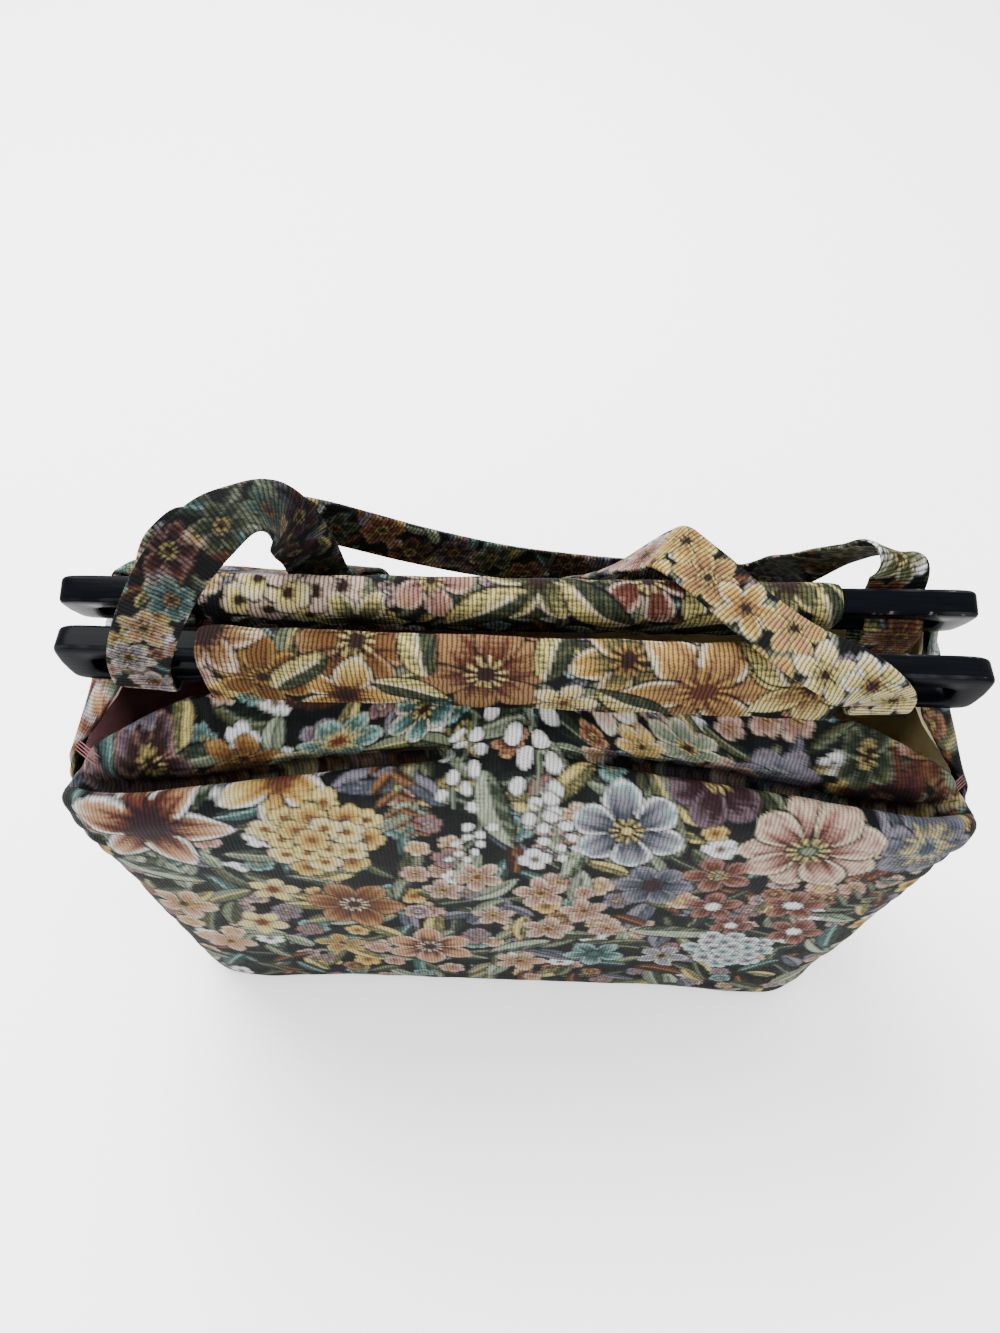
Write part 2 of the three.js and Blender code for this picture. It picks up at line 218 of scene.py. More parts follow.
@dataclass(frozen=True)
class Spot:
    """Where a motif sits on the cloth: across, along, radius in mm, and turn in degrees."""

    s: float
    t: float
    size: float
    turn: float = 0.0

    def beside(self, along: float, over: float, size: float, turn: float, rise: float) -> "Spot":
        """A spot beside this one.

        Args:
            along: way to it along this one's turn, as a share of this one's radius.
            over: way to it to the side, in the same way.
            size: its own radius.
            turn: its own turn.
            rise: height of motifs over their width.

        Returns:
            The spot.
        """
        a = np.radians(self.turn)
        s = self.s + self.size * (along * np.cos(a) - over * np.sin(a))
        t = self.t + self.size * (along * np.sin(a) + over * np.cos(a)) * rise
        return Spot(s, t, size, turn)


class Loom:
    """Weaves motifs into a piece of cloth, with four samples round every point of its grid.

    Every motif is drawn in its own coordinates u and v, which are 1 at its radius. A motif is RISE times as
    tall as it is wide, because the cloth is woven with long picks.
    """

    RISE = 1.4

    def __init__(self, surface: "Surface", seed: int, rise: float = RISE) -> None:
        """Starts a cloth of plain dark ground.

        Args:
            surface: the piece's grid, with its places across and along in mm.
            seed: seed of the threads' unevenness.
            rise: height of the motifs over their width.
        """
        self.shape = surface.s.shape
        s, t = self._finer(surface.s).ravel(), self._finer(surface.t).ravel()
        self.order = np.argsort(t, kind="stable")
        self.s, self.t = s[self.order], t[self.order]
        self.rise = rise
        rng = np.random.default_rng(seed)
        self.hatch = 0.5 * (np.floor(self.t / PICK) % 2) + 0.5 * rng.random(self.s.size)
        streak = slack(self.s, self.t * 0.4, 9, seed) + 0.6 * (self.hatch - 0.5)
        self.rgb = np.where((streak > 0.3)[:, None], T.NIGHT_GREEN.linear, T.GROUND.linear)

    @staticmethod
    def _finer(values: Array) -> Array:
        """Values a quarter of a cell away on both sides of every row, then of every column: (2, 2, R, C)."""
        rows = np.pad(values, ((1, 1), (0, 0)), mode="edge")
        pair = np.stack([0.75 * values + 0.25 * rows[:-2], 0.75 * values + 0.25 * rows[2:]])
        columns = np.pad(pair, ((0, 0), (0, 0), (1, 1)), mode="edge")
        return np.stack([0.75 * pair + 0.25 * columns[..., :-2], 0.75 * pair + 0.25 * columns[..., 2:]])

    def colours(self) -> Array:
        """The mean colour of the four samples at every point of the grid."""
        back = np.empty_like(self.rgb)
        back[self.order] = self.rgb
        return back.reshape(4, *self.shape, 3).mean(0).reshape(-1, 3)

    def local(self, spot: Spot, reach: float = 1.15) -> tuple[Array, Array, Array]:
        """Samples near a spot, with their coordinates in the motif's own frame.

        Args:
            spot: where the motif sits.
            reach: how far out samples are taken, in radii.

        Returns:
            Indices of the samples, and their u and v.
        """
        far = spot.size * reach
        first, last = np.searchsorted(self.t, (spot.t - far * self.rise, spot.t + far * self.rise))
        near = first + np.flatnonzero(np.abs(self.s[first:last] - spot.s) < far)
        du, dv = self.s[near] - spot.s, (self.t[near] - spot.t) / self.rise
        c, n = np.cos(np.radians(spot.turn)), np.sin(np.radians(spot.turn))
        return near, (du * c + dv * n) / spot.size, (dv * c - du * n) / spot.size

    def weave(self, cells: Array, where: Array, thread: Thread) -> None:
        """Puts one thread into the chosen samples."""
        self.rgb[cells[where]] = thread.linear

    def shade(self, cells: Array, where: Array, level: Array, tones: Tones) -> None:
        """Shades samples from the first tone (level 0) to the last (level 1), hatched where tones meet."""
        chosen = cells[where]
        place = np.clip(level[where], 0, 0.999) * (len(tones) - 1)
        low = np.floor(place).astype(int)
        share = smooth_step(0.25, 0.75, place - low + 0.8 * (self.hatch[chosen] - 0.5))[:, None]
        colours = np.array([tone.linear for tone in tones])
        self.rgb[chosen] = colours[low] * (1 - share) + colours[np.minimum(low + 1, len(tones) - 1)] * share

    def blossom(self, spot: Spot, petals: int, tones: Tones, eye: Tones) -> None:
        """Small flower: its edge is 0.55 + 0.42 |cos(petals * angle / 2)|^0.5, dark between the petals."""
        cells, u, v = self.local(spot)
        r, a = np.hypot(u, v), np.arctan2(v, u)
        lobe = np.abs(np.cos(petals * a / 2))
        edge = 0.55 + 0.42 * lobe**0.5 - 0.07 * smooth_step(0.93, 1.0, lobe)
        self.weave(cells, r < edge + 0.12, T.GROUND)
        level = r / edge + 0.12 * np.cos(petals * 3 * a) * r - 0.35 * (lobe < 0.22)
        self.shade(cells, r < edge, level, tones)
        self.weave(cells, r < 0.26, eye[-1])
        self.weave(cells, (r < 0.26) & (r > 0.12) & (np.cos(6 * a) > 0.2), eye[0])

    def _blade(self, spot: Spot, width: float, tip: float) -> tuple[Array, Array, Array, Array]:
        """Blade from its root (p = 0) to its tip (p = 1): half width is width * sin(pi p^tip)^0.7."""
        cells, u, v = self.local(spot, 1.2)
        p = np.clip((u + 1) / 2, 0, 1)
        half = np.where(np.abs(u) <= 1, width * np.sin(np.pi * p**tip) ** 0.7, -0.06)
        return cells, p, v, half

    def leaf(self, spot: Spot, tones: Tones, vein: Thread, width: float = 0.32) -> None:
        """Pointed leaf with a dark and a light half, side veins, and a pale middle vein."""
        cells, p, v, half = self._blade(spot, width, 0.8)
        v = v + 0.3 * (p - 0.5) ** 2 - 0.03
        self.weave(cells, np.abs(v) < half + 0.07, T.GROUND)
        inside = np.abs(v) < half
        ribs = 0.22 * (np.cos(24 * p - 16 * np.abs(v)) > 0.5)
        self.shade(cells, inside, np.where(v < 0, 0.1, 0.75) + ribs, tones)
        self.weave(cells, inside & (np.abs(v) < 0.035) & (p < 0.85), vein)

    def petal(self, spot: Spot, tones: Tones, rim: Thread, width: float, tip: float) -> None:
        """Petal shaded from its root to its tip, streaked along, with a rim and a dark outline."""
        cells, p, v, half = self._blade(spot, width, tip)
        self.weave(cells, np.abs(v) < half + 0.08, T.GROUND)
        inside = np.abs(v) < half
        side = np.abs(v) / np.maximum(half, 0.02)
        streak = 0.3 * (np.cos(15 * v / width) > 0.6) * (1 - p)
        self.shade(cells, inside, p - streak + 0.1 * np.cos(9 * v / width) + 0.14 * v / width, tones)
        edge = inside & ((side > 0.8) | (p > 0.92)) & (p > 0.3)
        self.shade(cells, edge, np.full(p.shape, 0.9), (tones[-1], rim))

    def flower(
        self, spot: Spot, petals: int, tones: Tones, rim: Thread, eye: Tones, cut: Cut = Cut.PLAIN
    ) -> None:
        """Flower of overlapping petals round a stamened eye.

        Args:
            spot: where it sits.
            petals: how many petals it has.
            tones: threads from a petal's root to its tip.
            rim: thread of the petals' rims.
            eye: threads of the stamens, of the eye's middle and of its ground.
            cut: how its petals are cut.
        """
        step = 360 / petals
        for k in [*range(0, petals, 2), *range(1, petals, 2)]:
            turn = spot.turn + k * step
            root = Spot(spot.s, spot.t, spot.size, turn)
            size = spot.size * (0.5 + 0.03 * np.cos(7 * k))
            self.petal(root.beside(0.5, 0.0, size, turn, self.rise), tones, rim, *cut.value)
        cells, u, v = self.local(spot, 0.45)
        r, a = np.hypot(u, v), np.arctan2(v, u)
        self.weave(cells, r < 0.24 + 0.03 * np.cos(9 * a), eye[-1])
        self.weave(cells, (r < 0.3) & (r > 0.15) & (np.cos(11 * a) > 0.45), eye[0])
        self.weave(cells, r < 0.1, eye[len(eye) // 2])

    def bed(self, flowers: Sequence[Flower]) -> None:
        """Weaves flowers in order, each given by its spot, petals, tones, rim, eye and cut."""
        for *spot, petals, tones, rim, eye, cut in flowers:
            self.flower(Spot(*spot), petals, tones, rim, eye, cut)

    def leaves(
        self, spots: Sequence[Sequence[float]], tones: Tones, vein: Thread, width: float = 0.32
    ) -> None:
        """Weaves leaves of one kind at spots."""
        for spot in spots:
            self.leaf(Spot(*spot), tones, vein, width)

    def cluster(self, spot: Spot, florets: int, palette: Sequence[Tones], eye: Tones) -> None:
        """Dome of small flowers set on a sunflower spiral, the outer ones first."""
        golden = np.pi * (3 - np.sqrt(5))
        for k in range(florets, 0, -1):
            r, a = 0.84 * np.sqrt((k - 0.5) / florets), k * golden
            size = spot.size * 1.12 / np.sqrt(florets) * (1.1 if k % 3 else 0.9)
            place = spot.beside(r * np.cos(a), r * np.sin(a), size, 40 * k, self.rise)
            self.blossom(place, 5 if k % 2 else 4, palette[k % len(palette)], eye)

    def fern(self, spot: Spot, pairs: int, tones: Tones) -> None:
        """Frond: leaflets in pairs that shorten toward the tip of a gently bent stem."""
        for p in np.linspace(0, 1, pairs):
            size = spot.size * (0.3 - 0.17 * p)
            for side in (-1, 1):
                over = 0.25 * np.sin(np.pi * p) + side * size / spot.size * 0.85
                place = spot.beside(2 * p - 1 + 0.15, over, size, spot.turn + 58 * side, self.rise)
                self.leaf(place, tones, tones[-1], 0.36)

    def bells(self, spot: Spot, count: int, tones: Tones, stem: Thread) -> None:
        """Spray of drop-shaped bells in pairs along a thin stem."""
        cells, u, v = self.local(spot)
        self.weave(cells, (np.abs(v - 0.1 * np.sin(3 * u)) < 0.04) & (np.abs(u) < 1), stem)
        for k, p in enumerate((np.arange(count) + 0.5) / count):
            side = 1 if k % 2 else -1
            over, size = side * (0.24 + 0.12 * np.cos(5 * k)), spot.size * (0.18 - 0.05 * p)
            near, x, y = self.local(spot.beside(2 * p - 1, over, size, spot.turn + 35 * side, self.rise))
            r = np.hypot(x * (1 + 0.25 * y), y * 1.2)
            self.weave(near, r < 1.15, T.GROUND)
            self.shade(near, r < 0.95, 0.7 - 0.5 * y, tones)

    def paint_shade(self, middle: float, reach: float, share: float) -> None:
        """Paints shade into the cloth: takes a share of the light from it about a place across it, by a bell
        curve.
        """
        self.rgb *= 1 - share * bump_at(self.s, middle, reach)[:, None]

    def strew(self, box: Sequence[float], pitch: float, seed: int, green: float = 0.58) -> None:
        """Fills the ground between the large motifs with leaves and small flowers on a shaken lattice.

        Args:
            box: lowest and highest s, lowest and highest t.
            pitch: spacing of the lattice in mm.
            seed: seed of the shaking and of the choices.
            green: share of leaves.
        """
        rng = np.random.default_rng(seed)
        columns = np.arange(box[0], box[1] + pitch, pitch)
        rows = np.arange(box[2], box[3] + pitch, pitch)
        spots = np.stack(np.meshgrid(columns, rows), -1).reshape(-1, 2)
        spots = spots + rng.uniform(-0.5, 0.5, spots.shape) * pitch
        rng.shuffle(spots)
        for s, t in spots:
            turn = rng.uniform(0, 360)
            if rng.random() < green:
                tones, vein = LEAVES[rng.integers(len(LEAVES))]
                size = pitch * rng.uniform(0.6, 1.05)
                self.leaf(Spot(s, t, size, turn), tones, vein, rng.uniform(0.26, 0.4))
            else:
                tones, eye = BLOOMS[rng.integers(len(BLOOMS))]
                size = pitch * rng.uniform(0.38, 0.6)
                self.blossom(Spot(s, t, size, turn), int(rng.integers(4, 7)), tones, eye)


LEAVES: list[tuple[Tones, Thread]] = [
    ((T.FOREST, T.SAGE), T.MINT),
    ((T.NIGHT_GREEN, T.FOREST, T.OLIVE), T.SAGE),
    ((T.SAGE, T.MINT), T.FOREST),
    ((T.OLIVE, T.SAGE), T.BUTTER),
    ((T.FOREST, T.TEAL), T.AQUA),
    ((T.BROWN, T.RUST), T.TAN),
    ((T.SLATE, T.LILAC), T.GROUND),
    ((T.NIGHT_GREEN, T.FOREST), T.SAGE),
    ((T.OLIVE, T.BUTTER), T.FOREST),
    ((T.FOREST, T.OLIVE, T.SAGE), T.NIGHT_GREEN),
]
BLOOMS: list[tuple[Tones, Tones]] = [
    ((T.RUST, T.ROSE, T.BLUSH), (T.BUTTER, T.RUST)),
    ((T.TAN, T.PEACH, T.CREAM), (T.BROWN, T.BUTTER)),
    ((T.OCHRE, T.GOLD, T.BUTTER), (T.RUST, T.OCHRE)),
    ((T.LILAC, T.WHITE, T.WHITE), (T.GOLD, T.SLATE)),
    ((T.PLUM, T.MAUVE, T.LILAC), (T.BUTTER, T.PLUM)),
    ((T.BROWN, T.RUST, T.PEACH), (T.BUTTER, T.BROWN)),
    ((T.TEAL, T.TEAL, T.AQUA), (T.BUTTER, T.TEAL)),
    ((T.PLUM, T.MAUVE, T.ROSE), (T.CREAM, T.PLUM)),
    ((T.BROWN, T.MAUVE, T.BLUSH), (T.WHITE, T.BROWN)),
]
SUNNY: list[Tones] = [
    (T.OCHRE, T.BUTTER, T.BUTTER),
    (T.OCHRE, T.GOLD, T.BUTTER),
    (T.GOLD, T.BUTTER, T.CREAM),
]
LACE: list[Tones] = [(T.SLATE, T.WHITE), (T.SLATE, T.AQUA, T.WHITE)]
BELLS: tuple[Tones, Thread] = ((T.LILAC, T.WHITE, T.WHITE), T.SAGE)
WARM_EYE: Tones = (T.CREAM, T.BROWN, T.PLUM)
COOL_EYE: Tones = (T.BUTTER, T.BUTTER, T.GROUND)


class Wire:
    """A node's output that takes part in sums, with a number or another wire on the right of an operator."""

    def __init__(self, graph: "Graph", socket: Any) -> None:
        """Wraps an output socket of a graph."""
        self.graph = graph
        self.socket = socket

    def _sum(self, operation: str, *terms: Any) -> "Wire":
        """Adds a Math node of the operation."""
        return self.graph.add("ShaderNodeMath", {"operation": operation}, dict(enumerate(terms)))

    def __add__(self, other: Any) -> "Wire":
        """self + other."""
        return self._sum("ADD", self, other)

    def __sub__(self, other: Any) -> "Wire":
        """self - other."""
        return self._sum("SUBTRACT", self, other)

    def __mul__(self, other: Any) -> "Wire":
        """self * other."""
        return self._sum("MULTIPLY", self, other)

    def __truediv__(self, other: Any) -> "Wire":
        """self / other."""
        return self._sum("DIVIDE", self, other)

    def cosine(self) -> "Wire":
        """Cosine of the value in radians."""
        return self._sum("COSINE", self)

    def floor(self) -> "Wire":
        """Largest whole number not above the value."""
        return self._sum("FLOOR", self)

    def band(self, low: float, high: float) -> "Wire":
        """0 below low, 1 above high, smooth between."""
        settings = {"interpolation_type": "SMOOTHSTEP"}
        sockets = {"Value": self, "From Min": low, "From Max": high}
        return self.graph.add("ShaderNodeMapRange", settings, sockets)


class Graph:
    """A material's node tree, with its Principled shader ready."""

    def __init__(self, name: str) -> None:
        """Makes a material of that name."""
        self.material = bpy.data.materials.new(name)
        self.material.use_nodes = True
        self.tree = self.material.node_tree
        self.shader = self.tree.nodes["Principled BSDF"]

    def add(
        self, kind: str, settings: Optional[dict] = None, sockets: Optional[dict] = None, out: Any = 0
    ) -> Wire:
        """Adds a node.

        Args:
            kind: the node's type.
            settings: its properties, set first; "stops" are a ramp's places and colours.
            sockets: numbers, colours or wires of its inputs, by name or by number.
            out: the output that is wanted, by name or by number.

        Returns:
            That output.
        """
        node = self.tree.nodes.new(kind)
        for key, value in (settings or {}).items():
            if key == "stops":
                self._ramp(node, value)
            else:
                setattr(node, key, value)
        for key, value in (sockets or {}).items():
            self.feed(node.inputs[key], value)
        return Wire(self, node.outputs[out])

    def _ramp(self, node: Any, stops: Sequence[tuple[float, Sequence[float]]]) -> None:
        """Gives a colour ramp its stops."""
        elements = node.color_ramp.elements
        while len(elements) < len(stops):
            elements.new(0.5)
        for element, (place, colour) in zip(elements, stops):
            element.position = place
            element.color = (*colour, 1.0)

    def feed(self, socket: Any, value: Any) -> None:
        """Links a wire to a socket, or sets a plain value on it."""
        if isinstance(value, Wire):
            self.tree.links.new(value.socket, socket)
        else:
            socket.default_value = value

    def dress(self, **sockets: Any) -> None:
        """Feeds the shader's sockets; an underscore in a name stands for a space."""
        for key, value in sockets.items():
            self.feed(self.shader.inputs[key.replace("_", " ")], value)

    def blend(self, kind: str, factor: Any, a: Any, b: Any) -> Wire:
        """Mixes two colours.

        Args:
            kind: blend type.
            factor: share of the second.
            a: first colour.
            b: second colour.

        Returns:
            The mixed colour.
        """
        settings = {"data_type": "RGBA", "blend_type": kind}
        return self.add("ShaderNodeMix", settings, {0: factor, 6: a, 7: b}, 2)

    def lit(self, colour: Wire, light: Wire) -> Wire:
        """A colour times a value."""
        shade = self.add("ShaderNodeCombineColor", None, {0: light, 1: light, 2: light})
        return self.blend("MULTIPLY", 1.0, colour, shade)

    def noise(self, place: Wire, scale: float, detail: float, flat: bool = False, rough: float = 0.5) -> Wire:
        """Noise at a place.

        Args:
            place: where it is read.
            scale: its blots in one unit of the place.
            detail: its octaves.
            flat: whether it reads only the first two coordinates.
            rough: how much the finer octaves count.

        Returns:
            The noise, from 0 to 1.
        """
        settings = {"noise_dimensions": "2D" if flat else "3D"}
        sockets = {"Vector": place, "Scale": scale, "Detail": detail, "Roughness": rough}
        return self.add("ShaderNodeTexNoise", settings, sockets)

    def bump(self, strength: float, distance: float, height: Wire) -> Wire:
        """The normal of a surface with a height over it, in metres at the given distance."""
        values = {"Strength": strength, "Distance": distance, "Height": height}
        return self.add("ShaderNodeBump", None, values)


def grey(value: float) -> tuple[float, float, float, float]:
    """A grey with full alpha."""
    return (value, value, value, 1.0)


@dataclass(frozen=True)
class TapestryFinish:
    """Ribbed woven cloth: coloured weft over a dark warp, matt."""

    name: str
    groove: float = 0.3
    pick_depth: float = 0.74
    roughness: float = 0.86
    gloss: float = 0.08

    def material(self) -> Any:
        """Builds the material from the cloth's threads and its place across and along in millimetres."""
        g = Graph(self.name)
        threads = g.add("ShaderNodeAttribute", {"attribute_name": "threads"})
        place = g.add("ShaderNodeUVMap", {"uv_map": "cloth"})
        across = g.add("ShaderNodeSeparateXYZ", None, {0: place})
        along = Wire(g, across.socket.node.outputs[1])
        wander = g.noise(place, 0.16, 2.0, flat=True)
        turn = 2 * np.pi
        rib_at = across / RIB + wander * 0.7
        rib = (rib_at * turn).cosine() * 0.5 + 0.5
        shift = rib_at.floor() * 0.5
        pick = ((along / PICK + shift + wander * 0.4) * turn).cosine() * 0.5 + 0.5
        worn = g.noise(place, 0.035, 3.0, flat=True)
        fibre = g.noise(place, 1.7, 2.0, flat=True)
        light = rib.band(0.02, 0.6) * (1 - self.groove) + self.groove
        light = light * (pick.band(0.0, 0.75) * (1 - self.pick_depth) + self.pick_depth)
        light = light * (fibre * 0.5 + 0.75) * (worn * 0.3 + 0.86)
        normal = g.bump(0.65, 0.0006, rib * 0.75 + pick * 0.25 + fibre * 0.2)
        g.dress(Base_Color=g.lit(threads, light), Roughness=self.roughness, Normal=normal)
        g.dress(Specular_IOR_Level=self.gloss)
        return g.material


@dataclass(frozen=True)
class LiningFinish:
    """Smooth dyed lining with faint slubs and soft creases."""

    roughness: float = 0.6
    name: str = "lining_cloth"
    gloss: float = 0.1

    def material(self) -> Any:
        """Builds the material from the lining's dye and its place in millimetres."""
        g = Graph(self.name)
        dye = g.add("ShaderNodeAttribute", {"attribute_name": "threads"})
        place = g.add("ShaderNodeUVMap", {"uv_map": "cloth"})
        creases = g.noise(place, 0.05, 4.0, flat=True)
        slub = g.noise(place, 1.4, 2.0, flat=True)
        # Painted shade: the dye is darkened in the creases' hollows and lightened on their tops; the slubs add
        # their own uneven tone.
        colour = g.lit(dye, creases * 0.3 + slub * 0.25 + 0.72)
        normal = g.bump(0.4, 0.002, creases + slub * 0.08)
        g.dress(Base_Color=colour, Roughness=self.roughness, Normal=normal, Specular_IOR_Level=self.gloss)
        return g.material


@dataclass(frozen=True)
class LacquerFinish:
    """Black lacquer on wood: deep gloss, faint grain, edges lightened partly where worn and partly as a painted
    highlight, and a few pale chips.
    """

    roughness: float = 0.2
    gloss: float = 0.018
    grain_tones: tuple[Place, Place] = ((0.0004, 0.0006, 0.0011), (0.0014, 0.0017, 0.0027))
    rub_and_highlight_tone: Place = (0.016, 0.017, 0.02)
    chip_tone: Place = (0.05, 0.043, 0.036)

    def material(self) -> Any:
        """Builds the material from the slat's worn, painted-highlight edges and its place."""
        g = Graph("black_lacquer")
        place = g.add("ShaderNodeTexCoord", None, None, "Object")
        rub_and_highlight = g.add("ShaderNodeAttribute", {"attribute_name": "rub_and_highlight"}, None, "Fac")
        stretch = g.add("ShaderNodeMapping", None, {"Vector": place, "Scale": (0.06, 1.0, 1.0)})
        grain = g.noise(stretch, 900.0, 4.0, rough=0.6)
        blot = g.noise(place, 60.0, 5.0)
        fleck = g.noise(place, 240.0, 4.0)
        # Edges are lighter, partly as real worn lacquer and partly as a painted highlight along them; the chips
        # are real.
        wear_and_highlight = (rub_and_highlight * (blot * 1.4 - 0.2)).band(0.35, 0.75)
        chip = (rub_and_highlight * fleck).band(0.635, 0.665)
        stops = list(zip((0.3, 0.75), self.grain_tones))
        base = g.add("ShaderNodeValToRGB", {"stops": stops}, {0: grain})
        colour = g.blend("MIX", wear_and_highlight * 0.6, base, (*self.rub_and_highlight_tone, 1.0))
        colour = g.blend("MIX", chip, colour, (*self.chip_tone, 1.0))
        rough = blot * 0.16 + wear_and_highlight * 0.2 + chip * 0.4 + (self.roughness - 0.06)
        normal = g.bump(0.22, 0.0004, grain * 0.5 + blot - chip)
        g.dress(Base_Color=colour, Roughness=rough, Normal=normal, Specular_IOR_Level=self.gloss)
        return g.material


@dataclass(frozen=True)
class FloorFinish:
    """Plain pale studio floor."""

    tone: float = 0.96

    def material(self) -> Any:
        """Builds the matt material."""
        g = Graph("studio_floor")
        g.dress(Base_Color=grey(self.tone), Roughness=0.9, Specular_IOR_Level=0.1)
        return g.material


@dataclass
class Surface:
    """A grid of points with the cloth's coordinates on it.

    Attributes:
        points: rows and columns of points, (R, C, 3), in mm.
        s: place across the cloth, (R, C), with one more row where the grid closes on itself.
        t: place along the cloth, in the same way.
        ring: whether the last row joins the first.
    """

    points: Array
    s: Array
    t: Array
    ring: bool = False

    def faces(self) -> tuple[Array, Array]:
        """Quads with their outward winding.

        Returns:
            Corner indices into the points, and into the cloth's coordinates, (F, 4) each.
        """
        rows, columns = self.points.shape[:2]
        r = np.arange(rows if self.ring else rows - 1)[:, None, None]
        c = np.arange(columns - 1)[None, :, None]
        down, over = np.array([0, 1, 1, 0]), np.array([0, 0, 1, 1])
        line, place = np.broadcast_arrays(r + down, c + over)
        return (line % rows * columns + place).reshape(-1, 4), (line * columns + place).reshape(-1, 4)


def make_mesh(
    name: str, surfaces: Sequence[Surface], colours: Optional[Array], values: Optional[dict] = None
) -> Any:
    """Puts surfaces into one mesh object.

    Args:
        name: the object's name.
        surfaces: grids that make up the piece.
        colours: linear colour at every point of the cloth's coordinates, kept as the attribute "threads".
        values: further named values of the points.

    Returns:
        The object, at the origin.
    """
    points, quads, charts, places, start, chart_start = [], [], [], [], 0, 0
    for surface in surfaces:
        solid, chart = surface.faces()
        points.append(surface.points.reshape(-1, 3) * MM)
        places.append(np.stack([surface.s.ravel(), surface.t.ravel()], -1))
        quads.append(solid + start)
        charts.append(chart + chart_start)
        start += len(points[-1])
        chart_start += len(places[-1])
    co, quad, chart, place = (np.concatenate(part) for part in (points, quads, charts, places))
    mesh = bpy.data.meshes.new(name)
    mesh.vertices.add(len(co))
    mesh.vertices.foreach_set("co", co.astype(np.float32).ravel())
    mesh.loops.add(quad.size)
    mesh.loops.foreach_set("vertex_index", quad.astype(np.int32).ravel())
    mesh.polygons.add(len(quad))
    mesh.polygons.foreach_set("loop_start", np.arange(0, quad.size, 4, dtype=np.int32))
    mesh.polygons.foreach_set("use_smooth", np.ones(len(quad), bool))
    mesh.update(calc_edges=True)
    layer = mesh.uv_layers.new(name="cloth")
    layer.data.foreach_set("uv", place[chart].astype(np.float32).ravel())
    if colours is not None:
        threads = mesh.attributes.new("threads", "FLOAT_COLOR", "CORNER")
        rgba = np.concatenate([colours, np.ones((len(colours), 1))], 1)
        threads.data.foreach_set("color", rgba[chart].astype(np.float32).ravel())
    for key, value in (values or {}).items():
        layer = mesh.attributes.new(key, "FLOAT", "POINT")
        layer.data.foreach_set("value", value.astype(np.float32).ravel())
    weld = bmesh.new()
    weld.from_mesh(mesh)
    bmesh.ops.remove_doubles(weld, verts=weld.verts, dist=WELD)
    weld.to_mesh(mesh)
    weld.free()
    mesh.validate()
    obj = bpy.data.objects.new(name, mesh)
    bpy.context.scene.collection.objects.link(obj)
    return obj


def settle(obj: Any, node: Optional[str], material: Any) -> Any:
    """Gives a piece its material and its body, and hides the solid that it stands for.

    Args:
        obj: the piece.
        node: the solid that it stands for, if any.
        material: the finish.

    Returns:
        The piece.
    """
    obj.data.materials.append(material)
    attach(obj, "root")
    if node:
        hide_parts(node)
    LOG.info("%s: %d quads", obj.name, len(obj.data.polygons))
    return obj


# Turns of the points round a hem's half round, in degrees.
HEM_BEND = (45, 90, 135)
# Area of a lining over its panel's.
LINING_SHARE = 0.95


def hem_columns(points: Array, normals: Array, depth: float, turned: int) -> Array:
    """Turns both side edges of a grid over: a half round of the cloth's thickness, then a strip behind it.

    Args:
        points: the face, (R, C, 3).
        normals: outward directions of the face.
        depth: thickness of the turned edge.
        turned: columns of the strip that lies behind the face.

    Returns:
        The face with its turned edges, (R, C + 2 * (turned + len(HEM_BEND)), 3).
    """
    bend = np.radians(HEM_BEND)[:, None, None]
    parts = []
    for edge, step in ((0, 1), (-1, -1)):
        rim = points[:, edge]
        out = unit(rim - points[:, edge + step])
        n = normals[:, edge]
        half = depth / 2
        roll = rim - n * half + n * half * np.cos(bend) + out * half * np.sin(bend)
        behind = [points[:, edge + step * k] - normals[:, edge + step * k] * depth for k in range(turned)]
        parts.append(np.concatenate([roll, np.stack(behind)]).transpose(1, 0, 2))
    return np.concatenate([parts[0][:, ::-1], points, parts[1]], axis=1)


